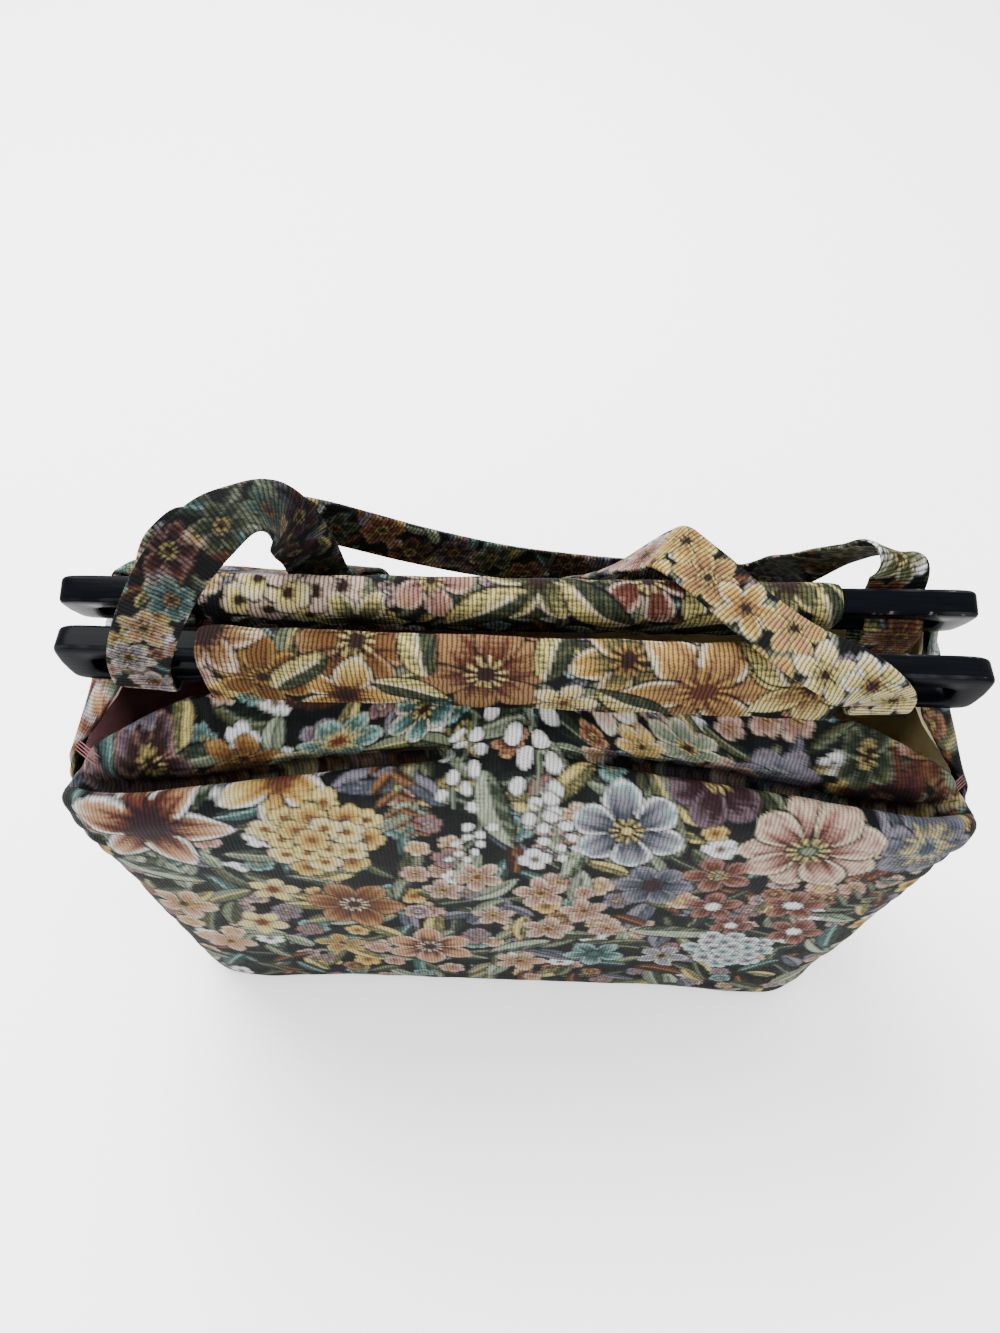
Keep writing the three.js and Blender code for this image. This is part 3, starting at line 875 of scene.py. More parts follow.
@dataclass
class Wall:
    """One panel of the bag's body, lofted through the same levels as its solid.

    Attributes:
        node: the solid's name, which is the piece's name too.
        levels: lean and half rows of points from the bag's middle outward, from the sleeve to the foot.
        from_left: whether the rows run from left to right.
        columns: columns of cells.
        rows: rows of cells.
        relief: how far the cloth stands out of the loft, from place across, place along, share and level.
        flat: width, length and area of the cut cloth in metres.
        yaw: turn of the sleeve's row about the vertical.
        trim: share of a row left for the turned edge.
        cloth: thickness of the turned edge.
        turned: columns of the strip behind the turned edge.
        fine: steps in which a column is measured, per level.
        fold: level from which places along the cloth are counted.
        wing: share of a row at the middle of the wing.
        points: the face, (R, C, 3).
        normals: its outward directions.
        loose: the face before the relief.
        inward: directions into the bag before the relief.
        sunk: how far the cloth about a point lies behind the loft; it also sets the panel's painted crease
            shade.
        s: place across the cloth, from the middle.
        t: place along the cloth.
    """

    node: str
    levels: list[tuple[float, Place, Place, Place, Place]]
    from_left: bool
    columns: int
    rows: int
    relief: Callable[[Array, Array, Array, Array], Array]
    flat: tuple[float, float, float]
    yaw: float = 0.0
    trim: float = 0.0028
    cloth: float = 2.0
    turned: int = 4
    fine: int = 24
    fold: float = 6.0
    wing: float = 0.72
    points: Array = field(init=False)
    normals: Array = field(init=False)
    loose: Array = field(init=False)
    inward: Array = field(init=False)
    sunk: Array = field(init=False)
    s: Array = field(init=False)
    t: Array = field(init=False)

    def loft(self) -> None:
        """Works out the face.

        Each level is a spline through its mirrored points, divided evenly by length; each column is a spline
        down through the levels; rows are even in the columns' mean length. The cloth then stands out along
        its normal by the relief. Places along the cloth are lengths up and down from the ridge: each column's
        own in the middle, and those of the wing's middle column over each whole wing.
        """
        places = np.linspace(self.trim, 1 - self.trim, self.columns + 1)
        sections = np.stack([spaced(self._row(*level), places) for level in self.levels])
        sections[0, :, 1] += sections[0, :, 0] * self.yaw
        u = np.linspace(0, 1, self.fine * len(self.levels))
        run = lengths(catmull(sections, u)).mean(1)
        even = np.interp(np.linspace(0, run[-1], self.rows + 1), run, u)
        points = catmull(sections, even)
        share = np.broadcast_to(np.linspace(-1, 1, self.columns + 1), points.shape[:2])
        share = share if self.from_left else -share
        level = np.broadcast_to((even * (len(self.levels) - 1))[:, None], share.shape)
        across = lengths(points, 1)
        self.s = (across - across[:, [self.columns // 2]]) * (1 if self.from_left else -1)
        self.t = np.broadcast_to(lengths(points).mean(1)[:, None], self.s.shape).copy()
        self.inward = -grid_normals(points)
        heights = self.relief(self.s, self.t, share, level)
        near = [np.roll(heights, shift, axis=0) for shift in range(-8, 9, 2)]
        self.sunk = np.maximum(-np.min(near, axis=0), 0)
        self.loose = points
        self.points = points - self.inward * heights[..., None]
        self.normals = grid_normals(self.points)
        down = lengths(self.points)
        fold = int(np.argmin(np.abs(level[:, 0] - self.fold)))
        own = down - down[[fold]] + down[fold].mean()
        side = np.abs(share)
        outer = own[:, np.abs(side[0] - self.wing) < 0.01].mean(1, keepdims=True)
        self.t = outer + (own - outer) * (1 - smooth_step(0.35, 0.7, side))

    def _row(self, lean: float, *half: Place) -> Array:
        """A level's points from one side of the bag to the other."""
        right = np.array(half)
        ordered = np.concatenate([right[:0:-1] * (-1, 1, 1), right])
        ordered[:, 2] += lean * ordered[:, 0]
        return ordered if self.from_left else ordered[::-1]

    def _widened(self, values: Array) -> Array:
        """Values of the face, repeated over the turned edges at both sides."""
        extra = self.turned + len(HEM_BEND)
        return np.pad(values, ((0, 0), (extra, extra)), mode="edge")

    def surface(self) -> Surface:
        """The face with its turned side edges, and the cloth's coordinates carried round them."""
        points = hem_columns(self.points, self.normals, self.cloth, self.turned)
        step = np.diff(self.s, axis=1)
        reach = np.arange(1, self.turned + len(HEM_BEND) + 1)
        left = self.s[:, :1] - step[:, :1] * reach[::-1]
        right = self.s[:, -1:] + step[:, -1:] * reach
        return Surface(points, np.concatenate([left, self.s, right], 1), self._widened(self.t))

    def panel(self, weave: Callable[[Loom], None], material: Any) -> Any:
        """Weaves the panel's cloth, darkens it as painted shade where it lies sunk in the crease, and puts it
        in place.

        Args:
            weave: lays out its flowers.
            material: the cloth's finish.

        Returns:
            The piece.
        """
        surface = self.surface()
        loom = Loom(surface, seed=7)
        weave(loom)
        # Painted shade: the cloth's colour is darkened where it lies sunk behind the loft, most of all in the
        # front's crease under the flap.
        shade = 0.6 * smooth_step(1.5, 6.0, self._widened(self.sunk))
        colours = loom.colours() * (1 - shade.reshape(-1, 1))
        obj = settle(make_mesh(f"{self.node}_cloth", [surface], colours), self.node, material)
        return obj

    def lining(self, name: str, depth: float, dye: Callable[[Array, Array], Array], material: Any) -> Any:
        """Builds the lining behind the panel, a third as fine, a little creased, pushed in where the panel is.

        Args:
            name: the lining's node.
            depth: how far it lies behind the panel's face.
            dye: linear colour from points and their distance from the side edge.
            material: its finish.

        Returns:
            The piece.
        """
        rows = np.linspace(2, self.rows - 4, self.rows // 3).astype(int)
        columns = np.linspace(3, self.columns - 3, self.columns // 3).astype(int)
        pick = np.ix_(rows, columns)
        s, t = self.s[pick], self.t[pick]
        creased = depth + self.sunk[pick] + 0.5 * slack(s, t, 26, 41) + 0.3 * slack(s, t, 11, 43)
        points = self.loose[pick] + self.inward[pick] * creased[..., None]
        surface = Surface(points, s, t)
        ends = self.s[rows]
        edge = np.minimum(np.abs(s - ends[:, :1]), np.abs(ends[:, -1:] - s))
        colours = dye(points.reshape(-1, 3), edge.ravel())
        obj = settle(make_mesh(f"{name}_cloth", [surface], colours), name, material)
        self.flat[2] * LINING_SHARE
        return obj


def front_relief(s: Array, t: Array, share: Array, level: Array) -> Array:
    """How the front's cloth stands out: a deep crease under the flap, a rolled ridge below it, and slack.

    The crease follows the valley level from near the middle to both corners; the wings end in a puffed nose
    with a crease under it, the flap bellies out, and it crumples where it leaves the sleeve's left end.

    Args:
        s: place across.
        t: place down from the sleeve.
        share: place from the left edge (-1) to the right edge (1).
        level: place down in levels.

    Returns:
        Height over the loft in mm.
    """
    side = np.abs(share)
    ramp = smooth_step(6, 50, np.abs(s)) * (1 - smooth_step(0.88, 0.99, side))
    crease = -7.0 * bump_at(level, 4.0 + 0.08 * slack(s, t, 60, 2), 0.55) * ramp
    ridge = 1.8 * bump_at(level, 6.0, 0.9) * ramp
    belly = 2.2 * bump_at(level, 1.7, 0.9) * (1 - smooth_step(0.8, 0.95, side))
    nose = 4.5 * bump_at(side, 0.93, 0.05) * bump_at(level, 2.7, 0.9)
    tuck = -4.0 * bump_at(side, 0.95, 0.05) * bump_at(level, 4.5, 0.4)
    corner = 3.5 * bump_at(side, 0.95, 0.07) * bump_at(level, 6.5, 0.8)
    crumple = 1.5 * np.sin(s * 0.62 + level * 2.4) * bump_at(s, -122, 13) * bump_at(level, 0.9, 0.6)
    face = smooth_step(50, 90, t) * (1 - smooth_step(280, 305, t))
    flap = smooth_step(0, 8, t) * (1 - smooth_step(18, 34, t))
    pucker = 0.8 * bump_at(side, 0.85, 0.08) * bump_at(level, 7.6, 0.8) * np.sin(t * 0.36 + share)
    loose = 1.3 * face * slack(s, t, 95, 3) + 1.5 * flap * slack(s, t, 19, 5) + 0.3 * slack(s, t, 22, 9)
    return crease + ridge + belly + nose + tuck + corner + crumple + pucker + loose


def back_relief(s: Array, t: Array, share: Array, level: Array) -> Array:
    """How the back's cloth stands out: broad waves, and soft pleats at the crests beside the slits.

    Args:
        s: place across.
        t: place down from the sleeve.
        share: place from the left edge (-1) to the right edge (1).
        level: place down in levels.

    Returns:
        Height over the loft in mm.
    """
    face = smooth_step(60, 110, t) * (1 - smooth_step(290, 320, t))
    crest = bump_at(np.abs(share), 0.72, 0.12) * bump_at(level, 3.0, 1.6)
    rim = 0.6 * smooth_step(0.88, 0.97, np.abs(share)) * (1 - smooth_step(5.5, 7, level)) * np.sin(t * 0.45)
    loose = 1.4 * face * slack(s, t, 110, 13) + 0.3 * slack(s, t, 24, 19)
    return loose + crest * np.sin(s * 0.16) + rim


@dataclass
class Body:
    """The bag's walls, linings and base.

    Attributes:
        upright: finish of the walls and the base.
        lining: finish of the linings.
        rear_yaw: turn of the rear sleeve about the vertical.
        lining_depth: how far the linings lie behind the panels' faces.
        base_half: half the base's width and depth.
        base_corner: radius of the base's corners.
        base_thickness: thickness of the base.
        wing_foot: height above which the wings' hems are tacked.
        tack_lift: how far the tacks lie off the cloth.
        tack_step: spacing of a tack's stitches.
        rose: dye of the lining at the left, a darker tone deep in the bag as painted shade and a paler one at
            the slit's rim as painted light.
        yellow: dye of the lining at the right, in the same way.
    """

    upright: Any
    lining: Any
    rear_yaw: float = 0.0227
    lining_depth: float = 4.0
    base_half: tuple[float, float] = (179.6, 51.8)
    base_corner: float = 20.0
    base_thickness: float = 2.5
    wing_foot: float = 263.0
    tack_lift: float = 0.6
    tack_step: float = 1.5
    rose: tuple[Place, Place] = ((0.4, 0.18, 0.19), (0.95, 0.6, 0.63))
    yellow: tuple[Place, Place] = ((0.84, 0.7, 0.33), (1.0, 0.93, 0.6))

    FRONT_LEVELS = [
        (0, (0, -21.4, 286.6), (62, -21.4, 286.6), (108, -21.4, 286.6), (121.5, -21.4, 286.6)),
        (0, (0, -28.5, 284.6), (66, -29, 281), (118, -28.5, 279), (134.8, -21, 282)),
        (0.006, (0, -32.5, 281.8), (72, -33.5, 273), (136, -35, 267), (154.5, -27.5, 275)),
        (0.012, (0, -34.5, 279), (76, -35.5, 266.5), (155, -41.5, 258), (172.5, -35.5, 268)),
        (0.014, (0, -36, 277), (80, -38.5, 261.5), (161, -46, 250.5), (179.5, -41.5, 258.5)),
        (0.014, (0, -38, 275.5), (84, -43, 264.5), (165, -49.5, 253.5), (185.5, -43.2, 251.5)),
        (0.014, (0, -40.5, 273.5), (88, -49, 270), (170, -55, 260.5), (189, -42.5, 245)),
        (0.014, (0, -46, 264), (90, -56, 262.5), (173.5, -61, 252), (190.5, -41, 236)),
        (0.007, (0, -53, 238), (92, -58.5, 235), (175, -61, 228), (191.5, -40, 217)),
        (0, (0, -59, 160), (92, -59.5, 160), (174, -58.5, 157), (190.5, -40, 154)),
        (0, (0, -59, 75), (91, -59, 75), (172, -57.5, 75), (188.5, -40, 75)),
        (0, (0, -57, 9), (90, -57, 9), (169, -56.5, 9), (185, -40, 9)),
        (0, (0, -55, 0.3), (89, -55, 0.3), (167, -54.5, 0.3), (183, -40, 0.3)),
    ]
    BACK_LEVELS = [
        (0, (0, 22.6, 293.5), (62, 22.6, 293.5), (108, 22.6, 293.5), (121.5, 22.6, 293.5)),
        (0, (0, 29.5, 288), (112, 30.5, 289.5), (135, 29, 292.5), (146, 24, 294.5)),
        (0, (0, 35.5, 282.5), (135, 38.5, 287), (160, 37, 296), (168, 28, 299)),
        (0, (0, 42, 276), (150, 47, 279), (170, 38, 288), (171, 14, 284)),
        (0, (0, 49, 268), (160, 53, 270), (174, 40, 275), (168, -12, 270)),
        (0, (0, 54, 258), (166, 57, 259), (178.5, 41, 263), (182.5, -36.5, 262)),
        (0, (0, 57, 246), (171, 59, 247), (183.5, 42, 250), (187, -39.4, 248)),
        (0, (0, 58, 225), (174, 59.5, 225), (189, 42, 225), (191, -39.5, 220)),
        (0, (0, 58.5, 155), (174, 58.5, 155), (191.5, 41, 155), (190.5, -39.5, 154)),
        (0, (0, 57.5, 75), (172, 57.5, 75), (189, 41, 75), (188.5, -39.5, 75)),
        (0, (0, 56, 9), (169, 56, 9), (185, 40, 9), (185, -39.5, 9)),
        (0, (0, 55, 0.3), (167, 54.5, 0.3), (183, 39.5, 0.3), (183, -39.5, 0.3)),
    ]

    def build(self) -> None:
        """Builds front, back, both linings and the base."""
        front = Wall("front_panel", self.FRONT_LEVELS, True, 304, 290, front_relief, (0.405, 0.33, 0.130))
        front.loft()
        front.panel(self._weave_front, self.upright)
        flat = (0.56, 0.36, 0.175)
        back = Wall("back_panel", self.BACK_LEVELS, False, 330, 268, back_relief, flat, self.rear_yaw, 0.002)
        back.loft()
        back.panel(self._weave_back, self.upright)
        front.lining("front_lining", self.lining_depth, self._dye, self.lining)
        back.lining("back_lining", self.lining_depth, self._dye, self.lining)
        self._tack(front, back)
        self._base()

    def _tack(self, front: Wall, back: Wall) -> None:
        """Sews a bar at each slit's foot, from the wing's hem to the side wall's rim."""
        thread = LiningFinish(0.7, "thread").material()
        for name, edge in (("left_bar_tack", 0), ("right_bar_tack", -1)):
            rim = back.points[:, -1 - edge]
            near = np.linalg.norm(front.points[:, edge, None] - rim[None], axis=-1)
            near[front.points[:, edge, 2] < self.wing_foot] = np.inf
            i, j = np.unravel_index(np.argmin(near), near.shape)
            step = unit(front.points[i + 4, edge] - front.points[i - 4, edge])
            out = unit(front.normals[i, edge] + (0, 0, 1))
            inner = front.points[i, edge + (5 if edge == 0 else -5)]
            lift = out * self.tack_lift
            Tack(name, thread).sew(inner + lift, rim[j] + lift, step * self.tack_step, out)

    def _dye(self, points: Array, edge: Array) -> Array:
        """Rose at the left and yellow at the right, with painted light along the slits' rims and painted shade
        deep in the bag and at the back.

        Args:
            points: the lining's points, (N, 3).
            edge: their distances from the side edge.

        Returns:
            Linear colours, (N, 3).
        """
        # Painted light: the lining is paler near the slits' rims, where light falls in, and darker away from
        # them as painted shade.
        painted_rim_light = 1 - smooth_step(10, 62, edge)[:, None]
        w = smooth_step(-60, 60, points[:, 0])[:, None]
        # Painted shade: the lining darkens toward the back of the bag.
        paint_shade = 1 - 0.65 * smooth_step(6, 24, points[:, 1])[:, None]
        rose, yellow = (deep + painted_rim_light * (pale - deep) for deep, pale in np.array((self.rose, self.yellow)))
        return (rose * (1 - w) + yellow * w) * paint_shade

    @staticmethod
    def _weave_front(loom: Loom) -> None:
        """Lays out the front's flowers: warm at the left, pale sprays in the middle, cool at the right."""
        loom.strew((-215, 215, -50, 340), 15, 21)
        loom.fern(Spot(-44, 78, 24, 84), 8, (T.BROWN, T.RUST, T.TAN))
        loom.fern(Spot(150, 150, 24, -70), 7, (T.NIGHT_GREEN, T.FOREST, T.SAGE))
        leaves = (
            (-8, 104, 20, 70), (28, 140, 16, 110), (-158, 150, 20, 30), (86, 226, 22, -8), (6, 262, 18, 150),
        )
        loom.leaves(leaves, (T.FOREST, T.SAGE, T.MINT), T.MINT)
        for spot in ((-22, 70, 20, 100), (8, 82, 24, 75), (18, 118, 20, 55), (-20, 128, 16, 110)):
            loom.bells(Spot(*spot), 11, *BELLS)
        loom.bed((
            (-148, 92, 33, 15, 6, (T.PLUM, T.RUST, T.PEACH, T.BLUSH), T.WHITE, (T.PLUM, T.PLUM), Cut.LILY),
            (-94, 70, 27, -20, 6, (T.OCHRE, T.GOLD, T.BUTTER, T.CREAM), T.WHITE, (T.OCHRE, T.RUST), Cut.LILY),
        ))
        loom.cluster(Spot(-82, 116, 29, 20), 19, SUNNY, (T.RUST, T.OCHRE))
        sun, wine = (T.OCHRE, T.BUTTER, T.BUTTER), (T.PLUM, T.RUST, T.ROSE)
        loom.bed((
            (-76, 198, 24, 10, 6, (T.PLUM, T.RUST, T.OCHRE, T.PEACH), T.TAN, WARM_EYE, Cut.PLAIN),
            (-42, 270, 25, 30, 6, (T.PLUM, T.RUST, T.PEACH, T.PEACH), T.BLUSH, WARM_EYE, Cut.PLAIN),
            (-112, 178, 12, 0, 5, sun, T.CREAM, (T.OCHRE, T.RUST), Cut.PLAIN),
            (-126, 226, 13, 25, 5, sun, T.CREAM, (T.OCHRE, T.RUST), Cut.PLAIN),
            (-160, 200, 16, 12, 5, (T.RUST, T.PEACH, T.BLUSH), T.CREAM, (T.BUTTER, T.BROWN), Cut.PLAIN),
            (-150, 262, 14, 12, 5, (T.TAN, T.PEACH, T.BLUSH), T.BLUSH, (T.BUTTER, T.RUST), Cut.PLAIN),
            (-90, 268, 15, 50, 5, (T.RUST, T.TAN, T.GOLD), T.BUTTER, (T.BUTTER, T.BROWN), Cut.PLAIN),
            (46, 108, 24, 15, 6, (T.GROUND, T.SLATE, T.LILAC, T.AQUA), T.WHITE, COOL_EYE, Cut.PANSY),
            (78, 68, 20, 40, 6, (T.PLUM, T.PLUM, T.MAUVE), T.MAUVE, (T.BUTTER, T.OLIVE, T.PLUM), Cut.PANSY),
            (64, 162, 18, 0, 6, (T.GROUND, T.SLATE, T.LILAC), T.LILAC, (T.PLUM, T.PLUM), Cut.PANSY),
            (164, 90, 21, 5, 6, (T.BUTTER, T.SLATE, T.LILAC), T.LILAC, (T.MINT, T.SLATE), Cut.PANSY),
            (120, 106, 29, 12, 9, (*wine, T.BLUSH, T.ROSE), T.CREAM, (T.BUTTER, T.SAGE, T.FOREST), Cut.PEONY),
            (90, 142, 16, 25, 5, wine, T.ROSE, (T.BUTTER, T.SAGE, T.PLUM), Cut.PLAIN),
        ))
        pinks = (
            (-16, 160, 12), (14, 178, 13), (36, 198, 12), (-8, 210, 11), (20, 228, 14), (-32, 178, 10),
            (50, 224, 10),
        )
        for s, t, size in pinks:
            loom.flower(Spot(s, t, size, 3 * s), 5, (T.RUST, T.ROSE, T.BLUSH), T.CREAM, (T.BUTTER, T.RUST))
        for s, t, size in ((96, 184, 14), (132, 174, 15), (142, 210, 14), (110, 208, 11)):
            loom.flower(Spot(s, t, size, 2 * s), 5, wine, T.ROSE, (T.WHITE, T.WHITE, T.WHITE))
        loom.flower(Spot(48, 272, 17, 20), 5, (T.GROUND, T.TEAL, T.AQUA), T.AQUA, (T.PLUM, T.TEAL))
        loom.cluster(Spot(118, 250, 25, 0), 20, LACE, (T.LILAC, T.SLATE))
        loom.bed((
            (86, 276, 14, 0, 5, (T.SLATE, T.LILAC, T.LILAC), T.WHITE, (T.BUTTER, T.PLUM), Cut.PLAIN),
            (8, 294, 16, 0, 5, (T.BROWN, T.PEACH, T.BLUSH), T.BLUSH, (T.BUTTER, T.RUST), Cut.PLAIN),
            (-72, 13, 18, 10, 6, (T.BUTTER, T.TEAL, T.AQUA), T.MINT, (T.GOLD, T.RUST), Cut.PLAIN),
            (-112, 16, 17, 0, 5, (T.BROWN, T.OCHRE, T.GOLD), T.TAN, (T.GOLD, T.BROWN), Cut.PLAIN),
            (30, 12, 15, 0, 5, (T.MAUVE, T.BLUSH, T.WHITE), T.CREAM, (T.BUTTER, T.PLUM), Cut.PLAIN),
            (104, 16, 18, 0, 6, (T.SLATE, T.LILAC, T.MAUVE), T.LILAC, (T.MINT, T.SLATE), Cut.PANSY),
            (150, 32, 19, 30, 6, (T.PLUM, T.PLUM, T.RUST), T.RUST, (T.PEACH, T.BROWN), Cut.PLAIN),
        ))
        for s, t, size, tones, rim in (
            (-150, 20, 17, (T.PLUM, T.BROWN, T.MAUVE), T.ROSE),
            (-128, 42, 14, (T.BROWN, T.RUST, T.TAN), T.PEACH),
            (-174, 44, 12, (T.BROWN, T.MAUVE, T.ROSE), T.LILAC),
            (-160, -4, 13, (T.NIGHT_GREEN, T.SLATE, T.MAUVE), T.LILAC),
            (172, 46, 14, (T.BROWN, T.BROWN, T.RUST), T.TAN),
            (128, 50, 13, (T.GROUND, T.SLATE, T.LILAC), T.AQUA),
            (-38, 14, 15, (T.FOREST, T.TEAL, T.AQUA), T.CREAM),
            (0, 8, 13, (T.OLIVE, T.BUTTER, T.CREAM), T.WHITE),
            (66, 12, 16, (T.TEAL, T.SAGE, T.MINT), T.CREAM),
            (-92, 30, 12, (T.FOREST, T.SAGE, T.BUTTER), T.CREAM),
            (88, 32, 12, (T.MAUVE, T.ROSE, T.BLUSH), T.CREAM),
            (48, 30, 11, (T.OLIVE, T.GOLD, T.BUTTER), T.CREAM),
            (174, 8, 14, (T.PLUM, T.BROWN, T.RUST), T.TAN),
            (140, 4, 14, (T.NIGHT_GREEN, T.FOREST, T.OLIVE), T.SAGE),
        ):
            loom.flower(Spot(s, t, size, 2 * s), 6, tones, rim, (T.BUTTER, T.BROWN), Cut.POPPY)
        for k in range(6):
            place = Spot(112 + 14 * k, 48 + (k % 2), 7, 30 * k)
            loom.blossom(place, 4, (T.OCHRE, T.BUTTER, T.CREAM), (T.BROWN, T.BROWN))

    @staticmethod
    def _weave_back(loom: Loom) -> None:
        """Lays out the back and the sides from the same flowers, spread evenly."""
        loom.strew((-300, 300, -60, 380), 16, 33)
        rng = np.random.default_rng(5)
        large = (
            (T.PLUM, T.RUST, T.PEACH),
            (T.GROUND, T.SLATE, T.AQUA),
            (T.BUTTER, T.BLUSH, T.ROSE),
            (T.PLUM, T.MAUVE, T.LILAC),
            (T.OCHRE, T.GOLD, T.BUTTER),
            (T.GROUND, T.TEAL, T.AQUA),
        )
        lily = (T.PLUM, T.RUST, T.PEACH, T.BLUSH)
        for k, (s, t) in enumerate((s, t) for t in (60, 128, 200, 272) for s in range(-260, 261, 58)):
            s, t = s + 25 * (k % 2) + rng.uniform(-9, 9), t + rng.uniform(-14, 14)
            place = Spot(s, t, rng.uniform(18, 28), rng.uniform(0, 60))
            kind = k * 7 % 5
            if kind == 0:
                loom.flower(place, 6, lily, T.WHITE, (T.PLUM, T.PLUM), Cut.LILY)
            elif kind == 1:
                loom.cluster(place, 16, SUNNY if k % 2 else LACE, (T.RUST, T.OCHRE))
            elif kind == 2:
                loom.bells(place, 11, *BELLS)
            else:
                eye = WARM_EYE if k % 2 else COOL_EYE
                loom.flower(place, 5 + k % 3, large[k % len(large)], T.CREAM, eye, Cut.POPPY)

    def _base(self) -> None:
        """Builds the base: a plate whose half width shrinks at the rounded corners, folded over its rim."""
        half, depth, corner = *self.base_half, self.base_corner
        along = np.linspace(-1, 1, 200)
        y = depth * np.sin(np.linspace(-np.pi / 2, np.pi / 2, 80))
        over = np.clip(np.abs(y) - (depth - corner), 0, corner)
        reach = half - corner + np.sqrt(np.maximum(corner**2 - over**2, 0))
        x = reach[:, None] * along[None]
        under = np.stack([x, np.broadcast_to(y[:, None], x.shape), np.zeros_like(x)], -1)
        upper = under + (0, 0, self.base_thickness)
        under[:, [0, -1], 2] = upper[:, [0, -1], 2] = self.base_thickness / 2
        points = np.concatenate([under[::-1], upper])
        s = np.concatenate([x[::-1], x])
        t = np.broadcast_to(np.concatenate([y[::-1], y])[:, None], s.shape)
        surface = Surface(points, np.vstack([s, s[:1]]), np.vstack([t, t[:1]]), True)
        loom = Loom(surface, seed=3)
        loom.strew((-185, 185, -60, 60), 18, 51)
        obj = make_mesh("base_panel_cloth", [surface], loom.colours())
        settle(obj, "base_panel", self.upright)


@dataclass
class Tack:
    """A bar of doubled thread that holds two cloths together: short rounded stitches laid side by side.

    Attributes:
        name: the piece's name.
        material: the thread's finish.
        colour: the thread's linear colour.
        stitches: how many stitches lie side by side.
        radius: half a stitch's thickness at its middle.
    """

    name: str
    material: Any
    colour: Place = (0.12, 0.05, 0.05)
    stitches: int = 4
    radius: float = 0.32

    def sew(self, start: Array, end: Array, over: Array, out: Array) -> None:
        """Lays the stitches from one cloth to the other.

        A stitch is a thread that swells to its radius in the middle and arches a little off the cloth.

        Args:
            start: middle of the bar on the first cloth.
            end: middle of the bar on the second cloth.
            over: step from one stitch to the next.
            out: direction off the cloth.
        """
        u, angle = np.linspace(-1, 1, 7), np.linspace(0, 2 * np.pi, 7)[:-1]
        along = end - start
        side = unit(np.cross(unit(along), out))
        swell = self.radius * np.sqrt(1 - u**2)
        rng = np.random.default_rng(len(self.name))
        surfaces = []
        for k in range(self.stitches):
            shift = over * (k - (self.stitches - 1) / 2) + along * rng.uniform(-0.08, 0.08)
            middle = start + along * ((u + 1) / 2)[:, None] + shift + out * (0.6 * (1 - u**2))[:, None]
            ring = side * np.cos(angle)[:, None, None] + out * np.sin(angle)[:, None, None]
            flat = np.zeros((len(angle) + 1, len(u)))
            surfaces.append(Surface(middle[None] + ring * swell[None, :, None], flat, flat, True))
        places = sum(surface.s.size for surface in surfaces)
        colour = np.tile(self.colour, (places, 1))
        settle(make_mesh(self.name, surfaces, colour), None, self.material)


